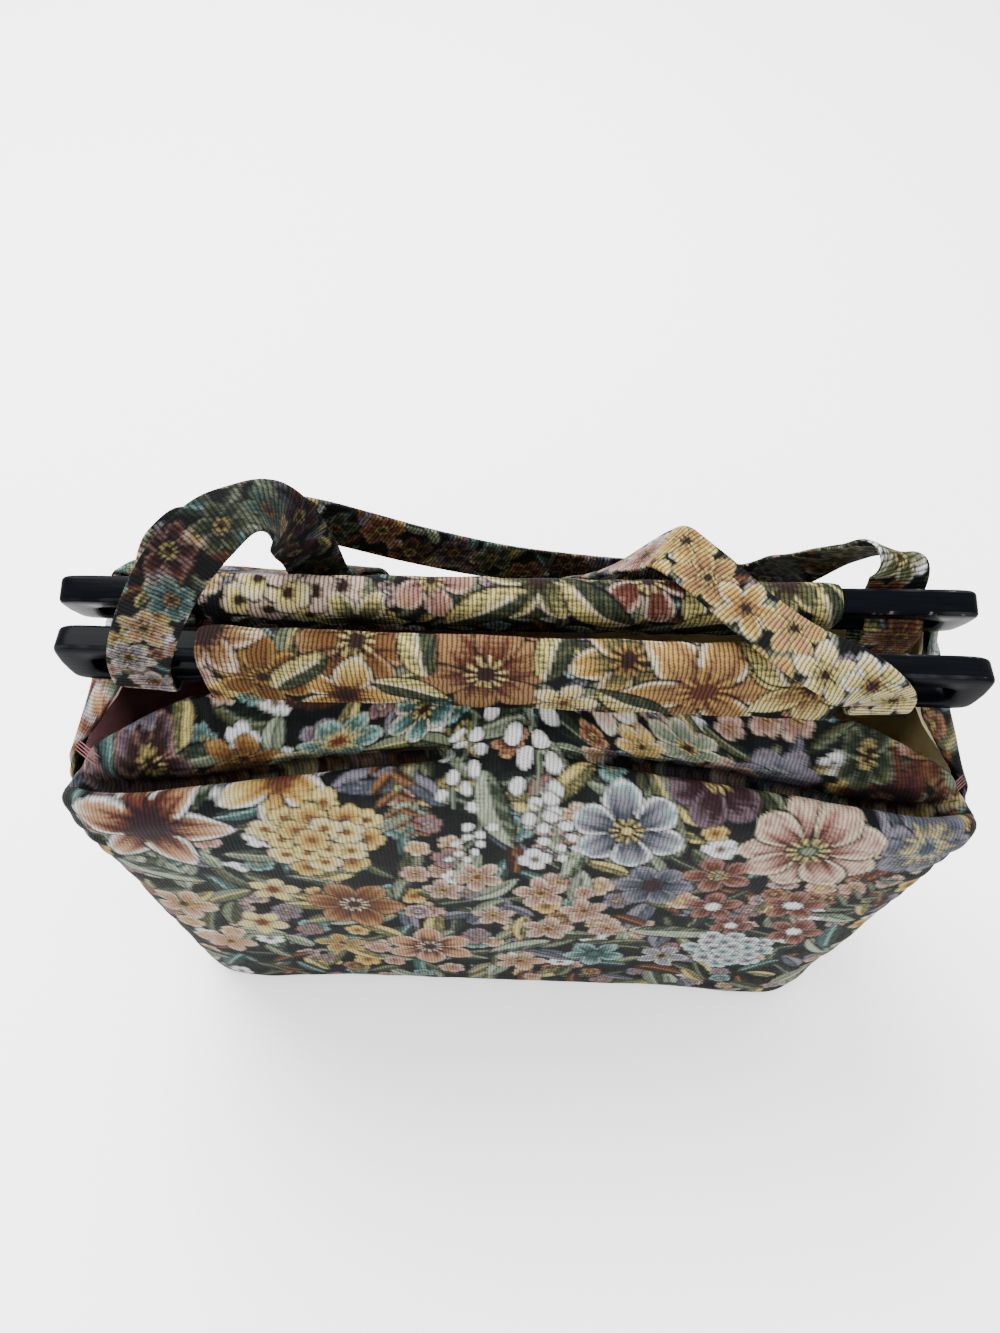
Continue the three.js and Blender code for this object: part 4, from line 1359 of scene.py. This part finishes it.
@dataclass
class Rail:
    """A lacquered slat with a slot near each end, and the cloth sleeve round it.

    Attributes:
        name: "front" or "rear".
        place: the slat's centre.
        yaw: its turn about the vertical.
        tip: its lean toward the front, about its length.
        outward: -1 where its outer face is toward -Y, 1 where it is toward +Y.
        seed: seed of the sleeve's unevenness.
        length: the slat's size along X.
        depth: its size along Y.
        height: its size along Z.
        round: radius of its edges.
        lip: radius of the slots' edges.
        slot_inner: where a slot begins, from the middle.
        slot_outer: where it ends.
        slot_sill: its height over the slat's foot.
        slot_height: its own height.
        slant: how far the foot of a slat's end is cut back.
        block: half the bar between the two slotted ends.
        sleeve_half: half the sleeve's length.
        sleeve_front: how far its faces stand from the slat's middle.
        sleeve_top: how far it reaches up.
        sleeve_lip: how far it reaches down.
        sleeve_rows: cells round the sleeve.
        sleeve_columns: cells along it.
        hem: thickness of its turned ends.
        turned: columns of the strip behind the turned ends.
    """

    name: str
    place: Place
    yaw: float
    tip: float
    outward: int
    seed: int
    length: float = 350.0
    depth: float = 10.5
    height: float = 23.0
    round: float = 1.8
    lip: float = 0.9
    slot_inner: float = 122.0
    slot_outer: float = 162.0
    slot_sill: float = 4.6
    slot_height: float = 11.0
    slant: float = 2.0
    block: float = 117.0
    sleeve_half: float = 122.0
    sleeve_front: float = 8.0
    sleeve_top: float = 13.9
    sleeve_lip: float = 20.5
    sleeve_rows: int = 110
    sleeve_columns: int = 190
    hem: float = 1.8
    turned: int = 5

    def put(self, points: Array) -> Array:
        """Tips points by the slat's tip, turns them by its yaw and moves them to its place."""
        c, s = np.cos(self.yaw), np.sin(self.yaw)
        y, z = self.tipped(points[..., 1], points[..., 2])
        tipped = np.stack([points[..., 0], y, z], -1)
        return tipped @ np.array([[c, s, 0], [-s, c, 0], [0, 0, 1]]) + self.place

    def tipped(self, y: Array, z: Array) -> tuple[Array, Array]:
        """Places over the slat's middle, turned by its tip."""
        c, s = np.cos(self.tip), np.sin(self.tip)
        return y * c - z * s, y * s + z * c

    @staticmethod
    def _loop(half: tuple[float, float], centre: tuple[float, float], power: float, angle: Array) -> Array:
        """Rounded rectangle |x/a|^p + |z/b|^p = 1 about a centre, by angle."""
        c, s = np.cos(angle), np.sin(angle)
        x = np.sign(c) * np.abs(c) ** (2 / power) * half[0]
        z = np.sign(s) * np.abs(s) ** (2 / power) * half[1]
        return np.stack([centre[0] + x, np.zeros_like(x), centre[1] + z], -1)

    def _end(self, side: int) -> tuple[Surface, Array]:
        """One slotted end: a closed ring whose section runs from the slot's wall over both faces to the rim.

        Args:
            side: -1 for the left end, 1 for the right end.

        Returns:
            The surface, and how much each of its points is worn and lightened as a painted edge highlight.
        """
        angle = np.linspace(0, 2 * np.pi, 141)[:-1]
        reach, top = self.length / 2, self.height / 2
        outer = self._loop(((reach - self.block) / 2, top), ((reach + self.block) / 2, 0.0), 8.0, angle)
        foot, end = smooth_step(2, -top, outer[:, 2]), smooth_step(self.slot_outer - 8, reach, outer[:, 0])
        outer[:, 0] -= self.slant * foot * end
        size = ((self.slot_outer - self.slot_inner) / 2, self.slot_height / 2)
        centre = ((self.slot_inner + self.slot_outer) / 2, self.slot_sill + size[1] - top)
        hole = self._loop(size, centre, 5.0, angle)
        span = outer - hole
        whole = np.linalg.norm(span, axis=-1, keepdims=True)
        bend = np.linspace(0, np.pi / 2, 5)
        rim, lip, half = self.round, self.lip, self.depth / 2
        front = [(0.0, 0.0, 0.0)]
        front += [(0.0, lip * (1 - np.cos(b)), -half + lip * (1 - np.sin(b))) for b in bend]
        front += [(0.5, 0.0, -half)]
        front += [(1.0, -rim * (1 - np.sin(b)), -half + rim * (1 - np.cos(b))) for b in bend]
        back = [(share, off, -y) for share, off, y in front[:0:-1]]
        section = np.array(front + [(1.0, 0.0, 0.0)] + back)
        along = section[:, 0][:, None, None] * whole + section[:, 1][:, None, None]
        points = hole[None] + unit(span)[None] * along
        points[..., 1] = section[:, 2][:, None]
        points[..., 0] *= side
        if side > 0:
            points = points[:, ::-1]
        points = np.concatenate([points, points[:, :1]], 1)
        off = np.abs(section[:, 2])
        # Points at the outer rim's rounded edges are marked: worn there, and lightened as a painted edge
        # highlight.
        near_rim = (section[:, 0] == 1.0) & (off > half - rim) & (off < half)
        rub_and_highlight = np.broadcast_to(np.where(near_rim, 1.0, 0.35)[:, None], points.shape[:2])
        flat = np.zeros((points.shape[0] + 1, points.shape[1]))
        return Surface(self.put(points), flat, flat, True), rub_and_highlight

    def slat(self, material: Any) -> None:
        """Builds the slat: both slotted ends and the bar between them, a rounded section carried along X."""
        left, left_rub_and_highlight = self._end(-1)
        right, right_rub_and_highlight = self._end(1)
        angle = np.linspace(0, 2 * np.pi, 49)[:-1]
        profile = self._loop((self.depth / 2, self.height / 2), (0.0, 0.0), 9.0, angle)
        x = np.linspace(-self.block - 1, self.block + 1, 9)
        points = np.stack(np.broadcast_arrays(x[None], profile[:, None, 0], profile[:, None, 2]), -1)
        flat = np.zeros((len(angle) + 1, len(x)))
        bar = Surface(self.put(points), flat, flat, True)
        bar_rub_and_highlight = np.full(points.shape[:2], 0.3)
        rub_and_highlight = np.concatenate([part.ravel() for part in (left_rub_and_highlight, right_rub_and_highlight, bar_rub_and_highlight)])
        node = f"{self.name}_rail"
        obj = make_mesh(f"{node}_lacquer", [left, right, bar], None, {"rub_and_highlight": rub_and_highlight})
        settle(obj, node, material)

    def sleeve(self, material: Any, weave: Callable[[Loom], None]) -> None:
        """Builds the sleeve: its section is carried along X, puffed a little, with both ends turned in.

        Args:
            material: the cloth's finish.
            weave: lays out its flowers.
        """
        f, top, lip = self.sleeve_front, self.sleeve_top, self.sleeve_lip
        outline = np.array([
            (-6.9, -lip), (-7.6, -15.0), (-f, -8.0), (-f, 0.0), (-f, 6.0), (-6.6, 11.4), (-3.4, top),
            (0, top + 0.2), (3.4, top), (6.6, 11.4), (f, 6.0), (f, 0.0), (f, -8.0), (7.4, -12.6),
            (2.0, -17.2), (-3.4, -lip - 0.1), (-6.9, -lip),
        ])
        loop = spaced(outline, np.linspace(0, 1, self.sleeve_rows + 1))
        x = np.linspace(-self.sleeve_half + 1, self.sleeve_half - 1, self.sleeve_columns + 1)
        t = lengths(loop)[::-1, None]
        y, z = loop[:: self.outward].T[..., None]
        s, t, y, z = np.broadcast_arrays(x, t, -self.outward * y, z)
        points = np.stack([s, y, z], -1)
        normals = grid_normals(points)
        end = np.minimum(x + self.sleeve_half, self.sleeve_half - x)
        puff = 0.35 * slack(s, t, 34, self.seed) + 0.25 * slack(s, t, 14, self.seed + 1)
        tuck = -1.0 * np.exp(-end / 2.2) + 0.4 * bump_at(end, 7, 5)
        points = points + normals * (puff + tuck)[..., None]
        closed = hem_columns(points, normals, self.hem, self.turned)
        closed[-1, :, 2] -= 0.08
        reach = 1.6 * np.arange(1, self.turned + len(HEM_BEND) + 1)
        wide = np.concatenate([x[0] - reach[::-1], x, x[-1] + reach])
        s, t = np.broadcast_arrays(wide, t[:, :1])
        surface = Surface(self.put(closed), s, t)
        loom = Loom(surface, self.seed, 1.15)
        weave(loom)
        node = f"{self.name}_casing"
        obj = settle(make_mesh(f"{node}_cloth", [surface], loom.colours()), node, material)


def weave_front_sleeve(loom: Loom) -> None:
    """Large warm flowers cut by the sleeve's edges."""
    loom.strew((-130, 130, -5, 120), 13, 61, 0.5)
    leaves = (
        (-32, 30, 18, 20), (30, 34, 20, 160), (92, 14, 20, 35), (-86, 40, 16, 80), (22, 12, 18, 10),
        (-40, 6, 15, 60),
    )
    loom.leaves(leaves, (T.FOREST, T.OLIVE, T.SAGE), T.BUTTER, 0.36)
    loom.bed((
        (38, 36, 22, 70, 6, (T.BROWN, T.OLIVE, T.GOLD, T.BUTTER), T.CREAM, (T.GOLD, T.BROWN), Cut.TULIP),
        (68, 20, 36, 10, 6, (T.RUST, T.TAN, T.GOLD, T.CREAM), T.CREAM, (T.GOLD, T.RUST), Cut.LILY),
        (108, 26, 28, 40, 6, (T.OLIVE, T.TAN, T.BUTTER, T.CREAM), T.BUTTER, (T.GOLD, T.BROWN), Cut.LILY),
        (-14, 27, 26, 15, 6, (T.BROWN, T.RUST, T.TAN, T.TAN), T.TAN, (T.BUTTER, T.BROWN, T.PLUM), Cut.POPPY),
        (-62, 40, 23, 0, 6, (T.BROWN, T.OCHRE, T.TAN), T.PEACH, (T.BUTTER, T.BROWN), Cut.POPPY),
        (-68, 8, 23, 0, 5, (T.RUST, T.GOLD, T.BUTTER), T.CREAM, (T.RUST, T.BROWN), Cut.DAISY),
        (-98, 20, 19, 30, 6, (T.BROWN, T.OCHRE, T.OCHRE), T.GOLD, (T.GOLD, T.BROWN), Cut.POPPY),
        (-117, 42, 20, 0, 6, (T.BROWN, T.TAN, T.CREAM), T.BLUSH, (T.PLUM, T.BROWN), Cut.CUP),
        (-119, 6, 9, 0, 5, (T.RUST, T.GOLD, T.BUTTER), T.BUTTER, (T.RUST, T.BROWN), Cut.PLAIN),
        (16, 8, 13, 0, 5, (T.RUST, T.BUTTER, T.CREAM), T.CREAM, (T.BUTTER, T.RUST), Cut.PLAIN),
    ))
    leaves = (
        (-40, 44, 17, 100), (12, 42, 16, 70), (-84, 24, 15, 40), (42, 8, 17, 150), (88, 44, 18, 120),
        (-42, 14, 15, -20),
    )
    loom.leaves(leaves, (T.FOREST, T.OLIVE, T.BUTTER), T.CREAM, 0.4)


def weave_rear_sleeve(loom: Loom) -> None:
    """Smaller pale flowers on dark green, in golds and dusty pinks."""
    loom.strew((-130, 130, -5, 120), 10, 71, 0.6)
    leaves = [(s + 12, 48, 16, 25 + s) for s in range(-110, 120, 37)]
    loom.leaves(leaves, (T.FOREST, T.OLIVE, T.SAGE), T.BUTTER, 0.36)
    pale, dark = [(T.OLIVE, T.BUTTER, T.CREAM), (T.BROWN, T.BLUSH, T.BLUSH)], (T.BROWN, T.BROWN)
    loom.cluster(Spot(-88, 56, 26, 0), 13, pale, dark)
    loom.bed((
        (-34, 54, 16, 0, 5, (T.BROWN, T.ROSE, T.PEACH), T.BLUSH, (T.BUTTER, T.BROWN), Cut.PLAIN),
        (6, 58, 22, 0, 6, (T.NIGHT_GREEN, T.OLIVE, T.BUTTER), T.CREAM, dark, Cut.LILY),
        (48, 56, 20, 0, 5, (T.BROWN, T.RUST, T.ROSE), T.BLUSH, (T.BUTTER, T.PLUM), Cut.PLAIN),
        (100, 58, 22, 20, 6, (T.BROWN, T.OLIVE, T.CREAM), T.BUTTER, dark, Cut.LILY),
    ))
    leaves = ((-14, 40, 18, 30), (28, 42, 18, 140), (72, 52, 20, 70), (76, 34, 18, 20), (118, 38, 16, 110))
    loom.leaves(leaves, (T.FOREST, T.OLIVE, T.BUTTER), T.CREAM, 0.42)
    loom.flower(Spot(-62, 30, 18, 0), 6, (T.BROWN, T.OLIVE, T.BUTTER), T.CREAM, dark, Cut.CUP)


# A strap's end about its slat's middle, as places out and up: a snug loop, and one that hangs as a low fold.
Loop = Sequence[tuple[float, float]]
LOOP: Loop = (
    (-0.5, -2.6), (-4.5, -2.6), (-6.85, -5.2), (-6.85, -11.6),
    (-4.5, -14.6), (4.5, -14.6), (7.25, -11.6), (7.1, -4.5),
)
SLACK_LOOP: Loop = (
    (-0.5, -2.6), (-4.5, -2.6), (-7.4, -5.2), (-9.2, -11.3), (-11.4, -20.5),
    (-5.3, -24.0), (5.2, -15.2), (7.6, -11.4), (7.1, -4.5),
)


@dataclass
class Strap:
    """A flat folded band of tapestry, sewn round both slotted ends of its own slat.

    Attributes:
        name: "front" or "rear".
        rail: the slat that carries it.
        ends: place along the slat, direction of the width, and loop about the slat, at both ends.
        way: middle of the strap and direction of its width, from the left end to the right end.
        seed: seed of its unevenness.
        width: its width.
        thickness: its thickness, folded.
        step: length of a cell along it.
        around: cells round it.
    """

    name: str
    rail: Rail
    ends: Sequence[tuple[float, Place, Loop]]
    way: list[tuple[Place, Place]]
    seed: int
    width: float = 23.0
    thickness: float = 2.4
    step: float = 1.1
    around: int = 64

    def stations(self) -> tuple[Array, Array]:
        """All stations: the left end's loop round the slat's lower lip, the way, and the right end's loop.

        Returns:
            Middles of the strap, and directions of its width.
        """
        loops = []
        for x, width, section in self.ends:
            px = x + self.rail.place[0]
            out, up = np.array(section).T
            y, z = self.rail.tipped(self.rail.outward * out, up)
            y = self.rail.place[1] + px * self.rail.yaw + y
            at = np.stack([np.full_like(y, px), y, self.rail.place[2] + z], -1)
            loops.append(np.stack([at, np.broadcast_to(width, at.shape)], 1))
        left, right = loops
        whole = np.concatenate([left, np.array(self.way), right[::-1]])
        return whole[:, 0], whole[:, 1]

    def _section(self) -> tuple[Array, Array, Array]:
        """The strap's section, a superellipse, evenly spaced.

        Returns:
            Places across and off the middle, and the way round.
        """
        angle = np.linspace(0, 2 * np.pi, 2001)
        c, s = np.cos(angle), np.sin(angle)
        a = np.sign(c) * np.abs(c) ** 0.55 * self.width / 2
        b = np.sign(s) * np.abs(s) ** 0.3 * self.thickness / 2
        run = lengths(np.stack([a, b], -1))
        even = np.linspace(0, run[-1], self.around + 1)
        return np.interp(even[:-1], run, a), np.interp(even[:-1], run, b), even

    def build(self, material: Any, weave: Callable[[Loom, float], None]) -> None:
        """Carries a flat oval section along the way.

        The section is a rounded strip that is a little fuller in the middle. Its width follows the stations,
        and its thickness stands on the width and on the way; the way runs on a spline in even steps.

        Args:
            material: the cloth's finish.
            weave: lays out its flowers over the given length.
        """
        at, across = self.stations()
        u = np.linspace(0, 1, 3000)
        run = lengths(catmull(at, u))
        steps = int(run[-1] / self.step)
        even = np.interp(np.linspace(0, run[-1], steps + 1), run, u)
        middle = catmull(at, even)
        along = unit(np.gradient(middle, axis=0))
        width = catmull(across, even)
        width = unit(width - along * (width * along).sum(-1, keepdims=True))
        kernel = np.hanning(13)[1:-1]
        padded = np.pad(width, ((len(kernel) // 2,) * 2, (0, 0)), mode="edge")
        width = unit(np.stack([np.convolve(axis, kernel, mode="valid") for axis in padded.T], -1))
        face = np.cross(along, width)
        a, b, round_way = self._section()
        place = np.broadcast_to(np.linspace(0, run[-1], steps + 1), (len(round_way), steps + 1))
        ripple = 0.25 * slack(place[:-1], np.broadcast_to(a[:, None], place[:-1].shape), 30, self.seed)
        ends = np.ones(steps + 1)
        ends[[0, -1]] = 0.0
        bow = ripple * (1 - (2 * a[:, None] / self.width) ** 2) * np.sign(b)[:, None]
        lift = ends * (b[:, None] + bow)
        points = middle[None] + width[None] * a[:, None, None] + face[None] * lift[..., None]
        over = np.broadcast_to(round_way[:, None], place.shape)
        surface = Surface(points, place, over, True)
        loom = Loom(surface, self.seed, 1.0)
        weave(loom, float(run[-1]))
        node = f"{self.name}_strap"
        obj = settle(make_mesh(f"{node}_cloth", [surface], loom.colours()), node, material)
        LOG.info("%s: %.0f mm long", obj.name, run[-1])


# Places round a strap of the middles of its two faces.
STRAP_FACES = (12.0, 36.5)


def garland(loom: Loom, size: float, flowers: Sequence[tuple[float, Tones, Thread]]) -> None:
    """Sets a row of flowers along a strap, on both of its faces.

    Args:
        loom: the strap's cloth.
        size: the flowers' radius.
        flowers: place along the strap, tones and rim of each.
    """
    for k, (at, tones, rim) in enumerate(flowers):
        eye = (T.BUTTER, T.BROWN) if k % 3 else (T.GOLD, T.PLUM)
        for n, face in enumerate(STRAP_FACES):
            place = Spot(at + 3 * n, face + 5 * np.cos(2.3 * k), size, 31 * k)
            loom.flower(place, 5 + k % 2, tones, rim, eye, Cut.DAISY)


def weave_front_strap(loom: Loom, length: float) -> None:
    """Cool flowers at the left end, dark ones in the middle, pinks and then golds toward the right end, with
    painted shade on three stretches.
    """
    loom.strew((0, length, -4, 54), 9, 81, 0.62)
    lilac, teal = (T.PLUM, T.LILAC, T.CREAM), (T.GROUND, T.TEAL, T.SAGE)
    plum, moss = (T.GROUND, T.PLUM, T.RUST), (T.NIGHT_GREEN, T.FOREST, T.OLIVE)
    garland(loom, 10, (
        (34, lilac, T.BLUSH), (52, lilac, T.CREAM), (70, (T.BROWN, T.PEACH, T.BUTTER), T.CREAM),
        (88, teal, T.AQUA), (104, plum, T.ROSE), (122, moss, T.SAGE), (140, teal, T.SAGE),
        (158, plum, T.MAUVE), (178, plum, T.BROWN), (200, moss, T.OLIVE), (222, plum, T.RUST),
        (246, moss, T.OLIVE),
    ))
    pink, sun, sand = (T.RUST, T.ROSE, T.BLUSH), (T.OCHRE, T.GOLD, T.BUTTER), (T.OLIVE, T.BUTTER, T.CREAM)
    garland(loom, 13, [(length - at, tones, rim) for at, tones, rim in (
        (226, sand, T.CREAM), (206, pink, T.CREAM), (186, pink, T.BLUSH), (166, pink, T.CREAM),
        (148, sun, T.BUTTER), (130, (T.RUST, T.TAN, T.GOLD), T.BUTTER), (112, sun, T.CREAM),
        (94, (T.TAN, T.PEACH, T.GOLD), T.BUTTER), (76, sand, T.CREAM), (58, sand, T.WHITE),
        (42, sand, T.CREAM), (24, sand, T.CREAM),
    )])
    # Painted shade: three stretches of the strap that lie in shade are darkened.
    loom.paint_shade(length - 222, 24, 0.5)
    loom.paint_shade(60, 40, 0.35)
    loom.paint_shade(150, 60, 0.62)


def weave_rear_strap(loom: Loom, length: float) -> None:
    """Muted browns, greens and mauves, with olive and cream at the right end."""
    loom.strew((0, length, -4, 54), 9, 91, 0.6)
    brown, olive = (T.BROWN, T.RUST, T.TAN), (T.NIGHT_GREEN, T.OLIVE, T.SAGE)
    kinds = (
        ((T.GROUND, T.BROWN, T.RUST), T.TAN),
        ((T.GROUND, T.PLUM, T.MAUVE), T.LILAC),
        ((T.NIGHT_GREEN, T.FOREST, T.OLIVE), T.SAGE),
        (brown, T.PEACH),
    )
    garland(loom, 10, [(at, *kinds[k % len(kinds)]) for k, at in enumerate(np.arange(15, length - 110, 19))])
    garland(loom, 12, [(length - at, olive, T.CREAM) for at in (116, 98, 80)])
    garland(loom, 11, [(length - at, brown, T.TAN) for at in (62, 44, 26, 10)])


FRONT_WAY: list[tuple[Place, Place]] = [
    ((-141.5, -23.2, 316), (0.95, -0.02, -0.3)),
    ((-133, -20.5, 336), (0.92, -0.05, -0.38)),
    ((-119.5, -13, 358), (0.88, -0.2, -0.42)),
    ((-107.5, -3, 367.5), (0.76, -0.56, -0.3)),
    ((-97, 5, 369.5), (0.58, -0.78, 0.05)),
    ((-89, 11, 361), (0.05, -0.9, -0.3)),
    ((-86, 15.5, 347), (-0.55, -0.75, -0.25)),
    ((-85, 19.5, 334), (-0.84, -0.5, -0.15)),
    ((-84.3, 24.5, 320), (-0.93, -0.3, -0.05)),
    ((-83, 28, 304), (-0.97, -0.2, 0)),
    ((-82, 37, 290), (-1, -0.1, 0)),
    ((-80, 48, 280), (-1, 0, 0)),
    ((-75, 60.5, 262), (-1, 0, 0)),
    ((-66, 64, 240), (-0.85, 0, -0.5)),
    ((-22, 64, 221), (0, -0.05, -1)),
    ((20, 64, 240), (0.85, 0, -0.5)),
    ((29, 60.5, 260), (1, 0.1, -0.15)),
    ((34, 52.5, 277), (0.95, 0.3, 0)),
    ((39, 45, 293), (0.85, 0.52, 0.1)),
    ((46, 38, 309), (0.7, 0.7, 0.1)),
    ((52, 33, 320), (0.55, 0.83, 0.05)),
    ((54.5, 29.5, 326), (0.52, 0.85, 0)),
    ((58, 24, 329.5), (0.5, 0.86, 0)),
    ((66.5, 14.5, 331), (0.48, 0.88, 0)),
    ((75, 5, 331), (0.5, 0.86, 0)),
    ((83, -3, 330), (0.56, 0.83, 0)),
    ((92.5, -10.5, 327.8), (0.66, 0.75, 0.03)),
    ((102, -16.5, 325.3), (0.72, 0.68, 0.1)),
    ((112, -21, 323), (0.8, 0.52, 0.2)),
    ((122, -24, 319), (0.86, 0.3, 0.35)),
    ((130, -24.6, 313), (0.9, 0.12, 0.38)),
]
REAR_WAY: list[tuple[Place, Place]] = [
    ((-139.5, 15.8, 317), (1, 0, 0)),
    ((-137, 20, 323), (1, 0, -0.05)),
    ((-131, 23, 328.5), (0.97, 0, -0.1)),
    ((-123, 28.5, 332), (0.85, -0.05, 0.3)),
    ((-113, 35, 331), (0.55, -0.05, 0.83)),
    ((-101, 40.5, 325), (0.3, 0, 0.95)),
    ((-87, 45.5, 316), (0.2, 0, 0.98)),
    ((-72, 50, 305), (0.15, 0, 0.99)),
    ((-46, 56.5, 287), (0.12, 0, 0.99)),
    ((-12, 64, 268), (0.1, 0, 0.99)),
    ((20, 69, 257), (0.05, 0, 1)),
    ((52, 71, 252), (0, 0, 1)),
    ((85, 71.5, 252), (-0.1, 0, 1)),
    ((104, 71, 252), (-0.25, -0.05, 0.97)),
    ((115, 67, 262), (-0.3, -0.12, 0.94)),
    ((121.5, 58, 280), (-0.35, -0.22, 0.9)),
    ((128, 48, 301), (-0.5, -0.35, 0.79)),
    ((133.5, 38, 318), (-0.62, -0.4, 0.68)),
    ((138.5, 31, 327), (-0.76, -0.15, 0.63)),
    ((142.5, 26, 326.5), (-0.86, 0, 0.5)),
    ((144.7, 23.2, 318.5), (-0.99, 0, 0.1)),
]


@dataclass
class Studio:
    """Pale floor, soft light and the camera at the photograph's angle.

    Attributes:
        eye: the camera's place in metres.
        pitch_deg: how far it looks down.
        roll_deg: how far it is rolled.
        lens: its focal length in mm.
        floor_half: half the floor's width in metres.
        floor_drop: how far the floor lies under the bag's foot, in mm.
        sky: strength of the surroundings.
        aim: point in metres that the lights face.
        lights: name, place, size and power of each light.
    """

    eye: Place = (-0.009, -0.213, 0.630)
    pitch_deg: float = 58.57
    roll_deg: float = 2.0
    lens: float = 27.0
    floor_half: float = 4.0
    floor_drop: float = 0.2
    sky: float = 3.0
    aim: Place = (0, 0, 0.2)
    lights: tuple[tuple[str, Place, float, float], ...] = (
        ("key", (-0.5, 0.7, 1.5), 1.2, 75.0),
        ("fill", (-0.4, -1.4, 0.9), 1.4, 12.0),
    )

    def build(self) -> None:
        """Makes the floor, the lights and the camera."""
        self._floor()
        self._lights()
        self._camera()

    def _floor(self) -> None:
        """A flat grid at the bag's foot."""
        line = np.linspace(-self.floor_half, self.floor_half, 5) / MM
        x, y = np.meshgrid(line, line[::-1])
        points = np.stack([x, y, np.full_like(x, -self.floor_drop)], -1)
        floor = make_mesh("floor", [Surface(points, x, y)], None)
        floor.data.materials.append(FloorFinish().material())

    def _lights(self) -> None:
        """Bright even surroundings with one large soft light above and behind, and a weak one in front."""
        world = bpy.data.worlds.new("studio")
        bpy.context.scene.world = world
        world.use_nodes = True
        background = world.node_tree.nodes["Background"]
        background.inputs["Color"].default_value = grey(1.0)
        background.inputs["Strength"].default_value = self.sky
        for name, place, size, power in self.lights:
            light = bpy.data.lights.new(name, "AREA")
            light.shape = "DISK"
            light.size = size
            light.energy = power
            lamp = bpy.data.objects.new(name, light)
            bpy.context.scene.collection.objects.link(lamp)
            back = unit(np.array(place) - self.aim)
            right = unit(np.cross((0, 0, 1), back))
            lamp.matrix_world = self._pose(right, np.cross(back, right), back, place)

    @staticmethod
    def _pose(right: Array, up: Array, back: Array, place: Place) -> Matrix:
        """A matrix from its three axes and its place."""
        rows = np.eye(4)
        rows[:3] = np.column_stack([right, up, back, place])
        return Matrix(rows.tolist())

    def _camera(self) -> None:
        """Looks down at the bag's front, rolled a little."""
        pitch, roll = np.radians((self.pitch_deg, self.roll_deg))
        look = np.array((0, np.cos(pitch), -np.sin(pitch)))
        down = np.array((0, -np.sin(pitch), -np.cos(pitch)))
        level = np.array((1.0, 0, 0))
        right = level * np.cos(roll) - down * np.sin(roll)
        low = level * np.sin(roll) + down * np.cos(roll)
        data = bpy.data.cameras.new("camera")
        data.sensor_fit = "AUTO"
        data.sensor_width = 36.0
        data.lens = self.lens
        data.clip_start = 0.01
        camera = bpy.data.objects.new("camera", data)
        bpy.context.scene.collection.objects.link(camera)
        camera.matrix_world = self._pose(right, -low, -look, self.eye)
        bpy.context.scene.camera = camera


def main() -> None:
    """Builds the bag and its studio."""
    logging.basicConfig(level=logging.INFO, format="%(name)s: %(message)s")
    Studio().build()
    upright = TapestryFinish("panel_tapestry", groove=0.56).material()
    ribbed = TapestryFinish("ribbed_tapestry").material()
    lacquer = LacquerFinish().material()
    Body(upright, LiningFinish().material()).build()
    front = Rail("front", (0.0, -15.0, 306.0), 0.0, 0.0, -1, 61)
    rear = Rail("rear", (-1.8, 10.7, 311.0), 0.0227, 0.3, 1, 67)
    for rail, weave in ((front, weave_front_sleeve), (rear, weave_rear_sleeve)):
        rail.slat(lacquer)
        rail.sleeve(ribbed, weave)
    front_ends = ((-145.0, (0.98, 0, -0.17), LOOP), (137.5, (0.98, 0, 0.17), LOOP))
    rear_ends = ((-138.0, (1.0, 0, 0), LOOP), (146.5, (-1.0, 0, 0), SLACK_LOOP))
    Strap("front", front, front_ends, FRONT_WAY, 81).build(ribbed, weave_front_strap)
    Strap("rear", rear, rear_ends, REAR_WAY, 91).build(ribbed, weave_rear_strap)


if __name__ == "__main__":
    main()
